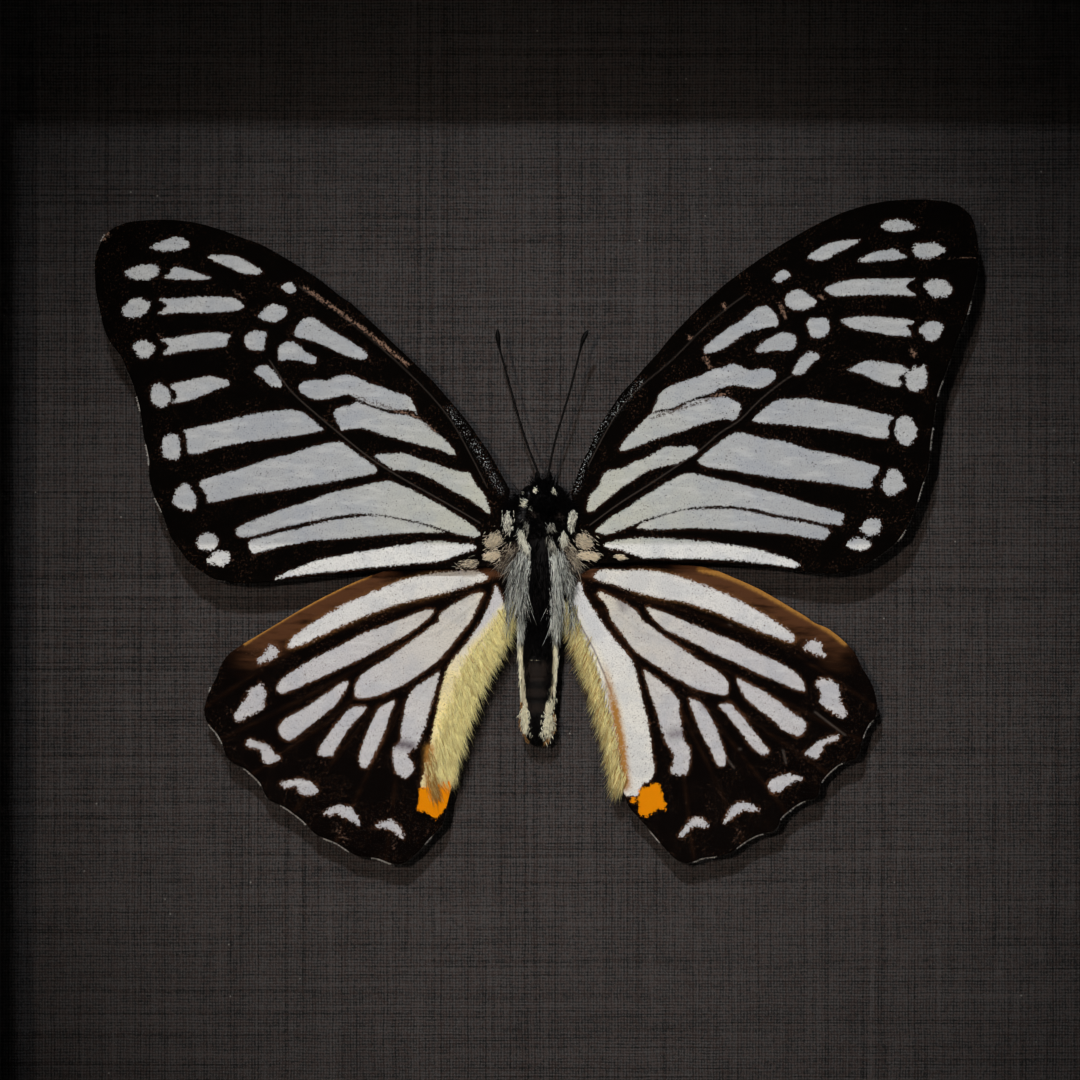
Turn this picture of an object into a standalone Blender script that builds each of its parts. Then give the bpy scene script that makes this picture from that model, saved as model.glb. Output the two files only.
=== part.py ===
"""A square shadow-box frame with one spread swallowtail butterfly on black linen card.

The frame stands on its bottom rail. +Z is up, the glass faces -Y and +X is to the viewer's
right. The origin is the middle of the bounding box's underside. The object is at its real size.
"""

import math

import bmesh
import bpy
from mathutils import Matrix, Vector

MM = 0.001

# Driving dimensions of the frame.
OPENING = 110 * MM
FACE = 15 * MM
RABBET = 5 * MM
LIP = 6 * MM
RAIL_DEPTH = 36 * MM
EASED_EDGE = 0.8 * MM
GLASS = 2 * MM
STRIP_DEPTH = 20 * MM
CARD = 1 * MM
BOARD = 3 * MM
GAP = 0.3 * MM
MITRE_GAP = 0.1 * MM

# Hardware on the back.
TAB_LENGTH = 9 * MM
TAB_WIDTH = 5 * MM
TAB_SHEET = 0.5 * MM
TAB_OFFSET = 30 * MM
BUMPER_RADIUS = 3.8 * MM
BUMPER_HEIGHT = 1.7 * MM
BUMPER_OFFSET = 50 * MM
HANGER_LENGTH = 45 * MM
HANGER_WIDTH = 6 * MM
HANGER_SHEET = 0.6 * MM
HANGER_RISE = 1.1 * MM
HANGER_RAISED_HALF = 14 * MM
HANGER_JOGGLE = 1.5 * MM
TOOTH_PITCH = 3 * MM
TOOTH_DEPTH = 1.4 * MM
TOOTH_COUNT = 7
NAIL_OFFSET = 19 * MM
NAIL_SHANK = 0.6 * MM
NAIL_HEAD = 1.6 * MM
NAIL_HEAD_HEIGHT = 0.7 * MM
NAIL_GRIP = 6 * MM

# Places that follow from them.
OUTER = OPENING + 2 * FACE
HALF_OPENING = OPENING / 2
HALF_OUTER = OUTER / 2
HALF_RABBET = HALF_OPENING + RABBET
HALF_PANEL = HALF_RABBET - GAP
CENTRE_Z = HALF_OUTER
TOTAL_DEPTH = RAIL_DEPTH + GAP + BUMPER_HEIGHT
FRONT_Y = -TOTAL_DEPTH / 2
RAIL_BACK_Y = FRONT_Y + RAIL_DEPTH
LIP_BACK_Y = FRONT_Y + LIP
GLASS_Y = LIP_BACK_Y + GAP
STRIP_Y = GLASS_Y + GLASS + GAP
CARD_Y = STRIP_Y + STRIP_DEPTH + GAP
BOARD_Y = CARD_Y + CARD + GAP
TAB_Y = BOARD_Y + BOARD + GAP

# The butterfly. Its outlines are in millimetres, right and up from the middle of the card,
# and SPECIMEN_X is how far that middle lies from the frame's own.
SPECIMEN_X = -1.1 * MM
WING_SHEET = 0.24 * MM
FOREWING_LIFT = 4.7 * MM
HINDWING_LIFT = 3.7 * MM
FOREWING_TILT = math.radians(1.6)
HINDWING_TILT = math.radians(0.4)

BLACK_WOOD = ("black_wood", (0.012, 0.011, 0.011), 0.45, 0.0)
CLEAR_GLASS = ("clear_glass", (0.9, 0.95, 0.93), 0.03, 0.0)
BLACK_STRIP = ("black_strip", (0.006, 0.006, 0.006), 0.9, 0.0)
BLACK_CARD = ("black_card", (0.027, 0.025, 0.024), 0.85, 0.0)
BROWN_BOARD = ("brown_board", (0.20, 0.12, 0.07), 0.8, 0.0)
BRIGHT_STEEL = ("bright_steel", (0.55, 0.55, 0.56), 0.35, 1.0)
BRASS_PLATE = ("brass_plate", (0.62, 0.46, 0.20), 0.35, 1.0)
GREY_RUBBER = ("grey_rubber", (0.05, 0.05, 0.05), 0.7, 0.0)
BODY_HAIR = ("body_hair", (0.03, 0.026, 0.024), 0.8, 0.0)
WING_SCALES = ("wing_scales", (0.12, 0.115, 0.11), 0.7, 0.0)

FOREWING_LEFT = [
    (-3.0, 1.2), (-5.3, 9.4), (-11.1, 16.4), (-19.7, 24.7), (-28.9, 30.0), (-36.8, 32.0),
    (-42.0, 31.4), (-44.4, 28.0), (-44.0, 22.8), (-40.6, 14.9), (-39.2, 7.8), (-37.1, 0.5),
    (-33.8, -3.3), (-28.9, -4.5), (-16.9, -2.9), (-7.4, -2.4), (-3.2, -1.6),
]
FOREWING_RIGHT = [
    (3.2, 1.2), (5.5, 10.0), (10.4, 17.0), (17.1, 24.1), (25.7, 30.5), (33.1, 33.4),
    (39.8, 34.0), (43.5, 31.6), (43.6, 25.5), (40.4, 17.0), (38.9, 6.9), (36.4, 0.8),
    (33.1, -2.3), (28.8, -3.4), (18.4, -2.7), (8.4, -2.3), (3.4, -1.6),
]
HINDWING_LEFT = [
    (-3.1, -2.9), (-9.0, -2.4), (-16.8, -3.7), (-25.6, -8.3), (-31.5, -12.3), (-33.5, -17.5),
    (-31.2, -21.8), (-25.8, -26.8), (-18.0, -31.6), (-14.2, -32.6), (-10.4, -28.6),
    (-8.2, -24.1), (-5.6, -17.0), (-3.4, -7.8),
]
HINDWING_RIGHT = [
    (3.4, -2.9), (9.0, -2.2), (16.5, -2.7), (24.8, -6.8), (31.9, -11.8), (33.7, -17.5),
    (30.2, -22.4), (23.6, -27.1), (17.2, -31.6), (14.4, -32.1), (10.6, -28.5),
    (7.3, -23.6), (5.2, -16.6), (3.6, -8.0),
]
WING_ROOT_X = 3.0

# Each body segment is a row of (distance down from its top, radius) in millimetres.
THORAX_TOP, THORAX_X = 2.6, 0.15
THORAX_PROFILE = [(0, 0), (0.5, 1.35), (1.7, 2.25), (4.0, 2.75), (7.0, 2.65), (10.0, 2.3), (12.0, 1.5), (12.5, 0)]
ABDOMEN_TOP, ABDOMEN_X = -10.3, -0.15
ABDOMEN_PROFILE = [(0, 0), (0.3, 1.4), (1.6, 1.85), (4.5, 1.9), (7.5, 1.6), (9.3, 1.2), (10.3, 0.7), (10.7, 0)]
HEAD_CENTRE, HEAD_RADIUS = (0.35, 4.5), 1.55
EYE_OUT, EYE_RADIUS = 1.35, 1.05
THORAX_LIFT = THORAX_PROFILE[3][1] * MM + GAP
ABDOMEN_LIFT = 3.0 * MM
HEAD_LIFT = 3.4 * MM
TURNED_STEPS = 20

ANTENNA_RADIUS = 0.09
CLUB_RADIUS = 0.24
ANTENNA_BASE_LIFT = 4.4
ANTENNA_TIP_LIFT = 6.2
ANTENNA_LEFT = [(-0.2, 6.5), (-0.6, 8.2), (-1.9, 12.2), (-3.0, 15.4), (-3.9, 18.6), (-4.1, 19.8), (-4.3, 21.1)]
ANTENNA_RIGHT = [(0.9, 6.5), (1.5, 9.0), (2.5, 13.4), (3.4, 16.6), (4.2, 19.2), (4.5, 20.0), (4.9, 20.9)]


def clear_scene():
    for old in list(bpy.data.objects):
        bpy.data.objects.remove(old, do_unlink=True)


def new_collection(name):
    collection = bpy.data.collections.new(name)
    bpy.context.scene.collection.children.link(collection)
    return collection


clear_scene()
PARTS = new_collection("framed_butterfly_specimen")
CUTTERS = new_collection("cutters")


def material(finish):
    name, colour, roughness, metallic = finish
    found = bpy.data.materials.get(name)
    if found:
        return found
    made = bpy.data.materials.new(name)
    made.use_nodes = True
    shader = made.node_tree.nodes["Principled BSDF"]
    shader.inputs["Base Color"].default_value = (*colour, 1)
    shader.inputs["Roughness"].default_value = roughness
    shader.inputs["Metallic"].default_value = metallic
    return made


def add_part(name, data, finish):
    part = bpy.data.objects.new(name, data)
    data.materials.clear()
    data.materials.append(material(finish))
    PARTS.objects.link(part)
    return part


def block_mesh(name, low, high):
    """A box between two corners, as a mesh."""
    low, high = Vector(low), Vector(high)
    bm = bmesh.new()
    place = Matrix.Translation((low + high) / 2) @ Matrix.Diagonal((*(high - low), 1))
    bmesh.ops.create_cube(bm, size=1, matrix=place)
    mesh = bpy.data.meshes.new(name)
    bm.to_mesh(mesh)
    bm.free()
    return mesh


def add_block(name, low, high, finish):
    return add_part(name, block_mesh(name, low, high), finish)


def add_cutter(name, data):
    cutter = bpy.data.objects.new(name, data)
    cutter.hide_render = True
    cutter.display_type = "WIRE"
    CUTTERS.objects.link(cutter)
    return cutter


def combine(part, other, operation="DIFFERENCE"):
    boolean = part.modifiers.new(other.name, "BOOLEAN")
    boolean.operation = operation
    boolean.solver = "EXACT"
    boolean.object = other


def evaluated_mesh(obj, name):
    """The object's shape with its modifiers applied, closed where a curve's caps meet its sides."""
    bpy.context.view_layer.update()
    mesh = bpy.data.meshes.new_from_object(obj.evaluated_get(bpy.context.evaluated_depsgraph_get()))
    mesh.name = name
    bm = bmesh.new()
    bm.from_mesh(mesh)
    bmesh.ops.remove_doubles(bm, verts=bm.verts, dist=0.001 * MM)
    bm.to_mesh(mesh)
    bm.free()
    return mesh


def filled_curve(name, points, thickness, bezier=False):
    """A flat outline in the curve's own XY plane, as a plate of the given thickness."""
    curve = bpy.data.curves.new(name, "CURVE")
    curve.dimensions = "2D"
    curve.fill_mode = "BOTH"
    curve.extrude = thickness / 2
    spline = curve.splines.new("BEZIER" if bezier else "POLY")
    knots = spline.bezier_points if bezier else spline.points
    knots.add(len(points) - 1)
    for knot, (x, y) in zip(knots, points):
        knot.co = (x, y, 0) if bezier else (x, y, 0, 1)
        if bezier:
            knot.handle_left_type = "AUTO"
            knot.handle_right_type = "AUTO"
    spline.use_cyclic_u = True
    curve.resolution_u = 3
    return curve


def disc_mesh(name, radius, depth, sides):
    """A disc round the Y axis, centred on its origin."""
    bm = bmesh.new()
    bmesh.ops.create_cone(
        bm, cap_ends=True, segments=sides, radius1=radius, radius2=radius, depth=depth,
        matrix=Matrix.Rotation(math.pi / 2, 4, "X"),
    )
    mesh = bpy.data.meshes.new(name)
    bm.to_mesh(mesh)
    bm.free()
    return mesh


def mitred_rail_mesh():
    """One rail of four, lying along X below the frame's middle, rabbeted and mitred."""
    reach = 3 * FACE
    stock = add_cutter("rail_stock", block_mesh(
        "rail_stock", (-HALF_OUTER - FACE, FRONT_Y, -HALF_OUTER), (HALF_OUTER + FACE, RAIL_BACK_Y, -HALF_OPENING)
    ))
    eased = stock.modifiers.new("eased_edges", "BEVEL")
    eased.width = EASED_EDGE
    eased.segments = 2
    rabbet = add_cutter("rabbet", block_mesh(
        "rabbet",
        (-HALF_OUTER - reach, LIP_BACK_Y, -HALF_RABBET),
        (HALF_OUTER + reach, RAIL_BACK_Y + reach, -HALF_OPENING + reach),
    ))
    combine(stock, rabbet)
    for side in (-1, 1):
        saw = add_cutter("mitre_saw", block_mesh("mitre_saw", (-1, -1, -1), (1, 1, 1)))
        saw.data.transform(Matrix.Scale(OUTER, 4))
        saw.rotation_euler.y = math.pi / 4
        away = Vector((side, 0, 1)).normalized()
        saw.location = away * (OUTER - MITRE_GAP / 2)
        combine(stock, saw)
    return evaluated_mesh(stock, "mitred_rail")


def make_rails():
    rail = mitred_rail_mesh()
    for turn, name in enumerate(("rail_bottom", "rail_left", "rail_top", "rail_right")):
        part = add_part(name, rail, BLACK_WOOD)
        part.location.z = CENTRE_Z
        part.rotation_euler.y = turn * math.pi / 2


def make_panels():
    """The glass, the card and the backing board, each as large as the rabbet lets it be."""
    for name, front, thickness, finish in (
        ("glazing", GLASS_Y, GLASS, CLEAR_GLASS),
        ("backing_card", CARD_Y, CARD, BLACK_CARD),
        ("backing_board", BOARD_Y, BOARD, BROWN_BOARD),
    ):
        add_block(
            name,
            (-HALF_PANEL, front, CENTRE_Z - HALF_PANEL),
            (HALF_PANEL, front + thickness, CENTRE_Z + HALF_PANEL),
            finish,
        )


def make_spacer_strips():
    """Four strips that line the box between the glass and the card."""
    inner, outer, back = HALF_OPENING, HALF_PANEL, STRIP_Y + STRIP_DEPTH
    short = inner - GAP
    for name, low, high in (
        ("spacer_top", (-outer, inner), (outer, outer)),
        ("spacer_bottom", (-outer, -outer), (outer, -inner)),
        ("spacer_left", (-outer, -short), (-inner, short)),
        ("spacer_right", (inner, -short), (outer, short)),
    ):
        add_block(
            name, (low[0], STRIP_Y, low[1] + CENTRE_Z), (high[0], back, high[1] + CENTRE_Z), BLACK_STRIP
        )


def make_board_tabs():
    """Pointed steel tabs that hold the backing board, two on each rail."""
    half = TAB_WIDTH / 2
    outline = [
        (-half, HALF_PANEL), (-half, HALF_PANEL - TAB_LENGTH / 2), (0, HALF_PANEL - TAB_LENGTH),
        (half, HALF_PANEL - TAB_LENGTH / 2), (half, HALF_PANEL),
    ]
    for turn, side in enumerate(("top", "right", "bottom", "left")):
        for place, shift in (("a", -TAB_OFFSET), ("b", TAB_OFFSET)):
            name = f"board_tab_{side}_{place}"
            points = [(x + shift, y) for x, y in outline]
            part = add_part(name, filled_curve(name, points, TAB_SHEET), BRIGHT_STEEL)
            part.location = (0, TAB_Y + TAB_SHEET / 2, CENTRE_Z)
            part.rotation_euler = (math.pi / 2, turn * math.pi / 2, 0)


def make_bumpers():
    for side, x in (("left", -BUMPER_OFFSET), ("right", BUMPER_OFFSET)):
        part = add_part(f"bumper_{side}", disc_mesh(f"bumper_{side}", BUMPER_RADIUS, BUMPER_HEIGHT, 20), GREY_RUBBER)
        part.location = (x, RAIL_BACK_Y + GAP + BUMPER_HEIGHT / 2, (FACE - RABBET) / 2)
        domed = part.modifiers.new("domed_edge", "BEVEL")
        domed.width = BUMPER_HEIGHT / 3
        domed.segments = 2


def hanger_strip():
    """The hanger's sheet, bent so that its middle stands off the rail."""
    end, raised, slope = HANGER_LENGTH / 2, HANGER_RAISED_HALF, HANGER_RAISED_HALF + HANGER_JOGGLE
    near, far, sheet = 0, HANGER_RISE, HANGER_SHEET
    under = [(-end, near), (-slope, near), (-raised, far), (raised, far), (slope, near), (end, near)]
    over = [(x, y + sheet) for x, y in reversed(under)]
    strip = add_part("hanger_strip", filled_curve("hanger_strip", under + over, HANGER_WIDTH), BRASS_PLATE)
    mesh = evaluated_mesh(strip, "sawtooth_hanger")
    bpy.data.objects.remove(strip)
    return mesh


def tooth_cutter(index):
    """A triangular notch in the hanger's lower edge."""
    x = (index - (TOOTH_COUNT - 1) / 2) * TOOTH_PITCH
    low = -HANGER_WIDTH / 2 - TOOTH_DEPTH
    notch = [(x - TOOTH_PITCH / 2, low), (x + TOOTH_PITCH / 2, low), (x, low + 2 * TOOTH_DEPTH)]
    guide = add_cutter("tooth_guide", filled_curve("tooth_guide", notch, 8 * HANGER_SHEET))
    cutter = add_cutter("tooth_cutter", evaluated_mesh(guide, "tooth_cutter"))
    bpy.data.objects.remove(guide)
    return cutter


def make_hanger():
    height = CENTRE_Z + HALF_OUTER - (FACE - RABBET) / 2
    place = Vector((0, RAIL_BACK_Y + GAP, height))
    hanger = add_part("sawtooth_hanger", hanger_strip(), BRASS_PLATE)
    hanger.location = place
    for index in range(TOOTH_COUNT):
        cutter = tooth_cutter(index)
        cutter.rotation_euler.x = math.pi / 2
        cutter.location = place + Vector((0, HANGER_RISE + HANGER_SHEET / 2, 0))
        combine(hanger, cutter)
    top_rail = bpy.data.objects["rail_top"]
    top_rail.data = top_rail.data.copy()
    for side, x in (("left", -NAIL_OFFSET), ("right", NAIL_OFFSET)):
        hole = add_cutter("nail_hole", disc_mesh("nail_hole", NAIL_SHANK + GAP, 2 * NAIL_GRIP, 10))
        hole.location = (x, RAIL_BACK_Y + GAP, height)
        combine(hanger, hole)
        combine(top_rail, hole)
        head_back = RAIL_BACK_Y + 2 * GAP + HANGER_SHEET + NAIL_HEAD_HEIGHT
        nail = add_part(
            f"hanger_nail_{side}", disc_mesh(f"hanger_nail_{side}", NAIL_HEAD, NAIL_HEAD_HEIGHT, 12), BRIGHT_STEEL
        )
        nail.location = (x, head_back - NAIL_HEAD_HEIGHT / 2, height)
        shank = add_cutter("nail_shank", disc_mesh("nail_shank", NAIL_SHANK, NAIL_GRIP, 10))
        shank.location = (x, head_back - NAIL_HEAD_HEIGHT / 2 - NAIL_GRIP / 2, height)
        combine(nail, shank, "UNION")


def card_point(x, z, lift):
    """A place on the specimen: right and up from the card's middle, and out from the card."""
    return Vector((SPECIMEN_X + x * MM, CARD_Y - lift, CENTRE_Z + z * MM))


def make_wing(name, outline, lift, tilt):
    """A thin plate hinged at the body, its tip a little nearer the glass than its root."""
    side = math.copysign(1, outline[1][0])
    root = side * WING_ROOT_X
    points = [((x - root) * MM, z * MM) for x, z in outline]
    wing = add_part(name, filled_curve(name, points, WING_SHEET, bezier=True), WING_SCALES)
    wing.location = card_point(root, 0, lift)
    wing.rotation_euler = (math.pi / 2, 0, -side * tilt)


def make_wings():
    make_wing("forewing_left", FOREWING_LEFT, FOREWING_LIFT, FOREWING_TILT)
    make_wing("forewing_right", FOREWING_RIGHT, FOREWING_LIFT, FOREWING_TILT)
    make_wing("hindwing_left", HINDWING_LEFT, HINDWING_LIFT, HINDWING_TILT)
    make_wing("hindwing_right", HINDWING_RIGHT, HINDWING_LIFT, HINDWING_TILT)


def add_turned(name, profile, x, top, lift, finish):
    """A body segment turned round the upright axis."""
    mesh = bpy.data.meshes.new(name)
    bm = bmesh.new()
    ring = [bm.verts.new((radius * MM, 0, -down * MM)) for down, radius in profile]
    for upper, lower in zip(ring, ring[1:]):
        bm.edges.new((upper, lower))
    bm.to_mesh(mesh)
    bm.free()
    part = add_part(name, mesh, finish)
    part.location = card_point(x, top, lift)
    turned = part.modifiers.new("turned", "SCREW")
    turned.steps = TURNED_STEPS
    turned.render_steps = TURNED_STEPS
    turned.use_merge_vertices = True
    turned.merge_threshold = 0.01 * MM
    return part


def ball(name, radius, centre):
    """A sphere as a cutter that is joined to the head."""
    bm = bmesh.new()
    bmesh.ops.create_uvsphere(bm, u_segments=16, v_segments=10, radius=radius)
    mesh = bpy.data.meshes.new(name)
    bm.to_mesh(mesh)
    bm.free()
    made = add_cutter(name, mesh)
    made.location = centre
    return made


def make_body():
    add_turned("thorax", THORAX_PROFILE, THORAX_X, THORAX_TOP, THORAX_LIFT, BODY_HAIR)
    add_turned("abdomen", ABDOMEN_PROFILE, ABDOMEN_X, ABDOMEN_TOP, ABDOMEN_LIFT, BODY_HAIR)
    x, z = HEAD_CENTRE
    centre = card_point(x, z, HEAD_LIFT)
    skull = ball("skull", HEAD_RADIUS * MM, centre)
    head = add_part("head", skull.data, BODY_HAIR)
    head.location = centre
    bpy.data.objects.remove(skull)
    for side in (-1, 1):
        eye = ball("eye", EYE_RADIUS * MM, centre + Vector((side * EYE_OUT * MM, -0.3 * MM, 0.1 * MM)))
        combine(head, eye, "UNION")


def make_antenna(name, route):
    """A fine shaft with a club at its tip, rising towards the glass."""
    curve = bpy.data.curves.new(name, "CURVE")
    curve.dimensions = "3D"
    curve.bevel_depth = MM
    curve.bevel_resolution = 2
    curve.use_fill_caps = True
    spline = curve.splines.new("POLY")
    spline.points.add(len(route) - 1)
    length = len(route) - 1
    for index, (point, (x, z)) in enumerate(zip(spline.points, route)):
        share = index / length
        lift = (ANTENNA_BASE_LIFT + (ANTENNA_TIP_LIFT - ANTENNA_BASE_LIFT) * share) * MM
        point.co = (*card_point(x, z, lift), 1)
        point.radius = CLUB_RADIUS if length - index < 2 else ANTENNA_RADIUS
    add_part(name, curve, BODY_HAIR)


make_rails()
make_panels()
make_spacer_strips()
make_board_tabs()
make_bumpers()
make_hanger()
make_wings()
make_body()
make_antenna("antenna_left", ANTENNA_LEFT)
make_antenna("antenna_right", ANTENNA_RIGHT)
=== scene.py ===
import math

import bmesh
import bpy
import numpy as np
from mathutils import Matrix, Vector

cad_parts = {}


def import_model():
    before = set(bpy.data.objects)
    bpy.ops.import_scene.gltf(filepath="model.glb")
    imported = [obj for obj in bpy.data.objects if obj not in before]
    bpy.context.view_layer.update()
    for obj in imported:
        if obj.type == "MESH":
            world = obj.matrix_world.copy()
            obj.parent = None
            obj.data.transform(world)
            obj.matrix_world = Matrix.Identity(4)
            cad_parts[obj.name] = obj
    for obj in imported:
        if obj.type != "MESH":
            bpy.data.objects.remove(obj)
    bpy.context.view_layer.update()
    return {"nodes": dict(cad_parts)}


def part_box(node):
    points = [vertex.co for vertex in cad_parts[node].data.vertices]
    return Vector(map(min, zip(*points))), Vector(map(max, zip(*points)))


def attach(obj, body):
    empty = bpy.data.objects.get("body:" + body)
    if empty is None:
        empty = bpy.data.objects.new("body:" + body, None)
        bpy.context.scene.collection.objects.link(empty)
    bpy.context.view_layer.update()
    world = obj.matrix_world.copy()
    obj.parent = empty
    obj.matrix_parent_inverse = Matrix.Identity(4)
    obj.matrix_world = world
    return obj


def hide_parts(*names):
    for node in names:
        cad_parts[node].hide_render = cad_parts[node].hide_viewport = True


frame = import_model()

MM = 0.001
EYE = 620.0  # the camera's distance from the card, in mm
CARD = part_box("backing_card")[0].y  # the card's front face
MIDDLE = (-0.0011, 0.070)  # the specimen's middle on the card, across and up


# Setting out: the outlines are in mm from the specimen's middle, across and up.

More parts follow.
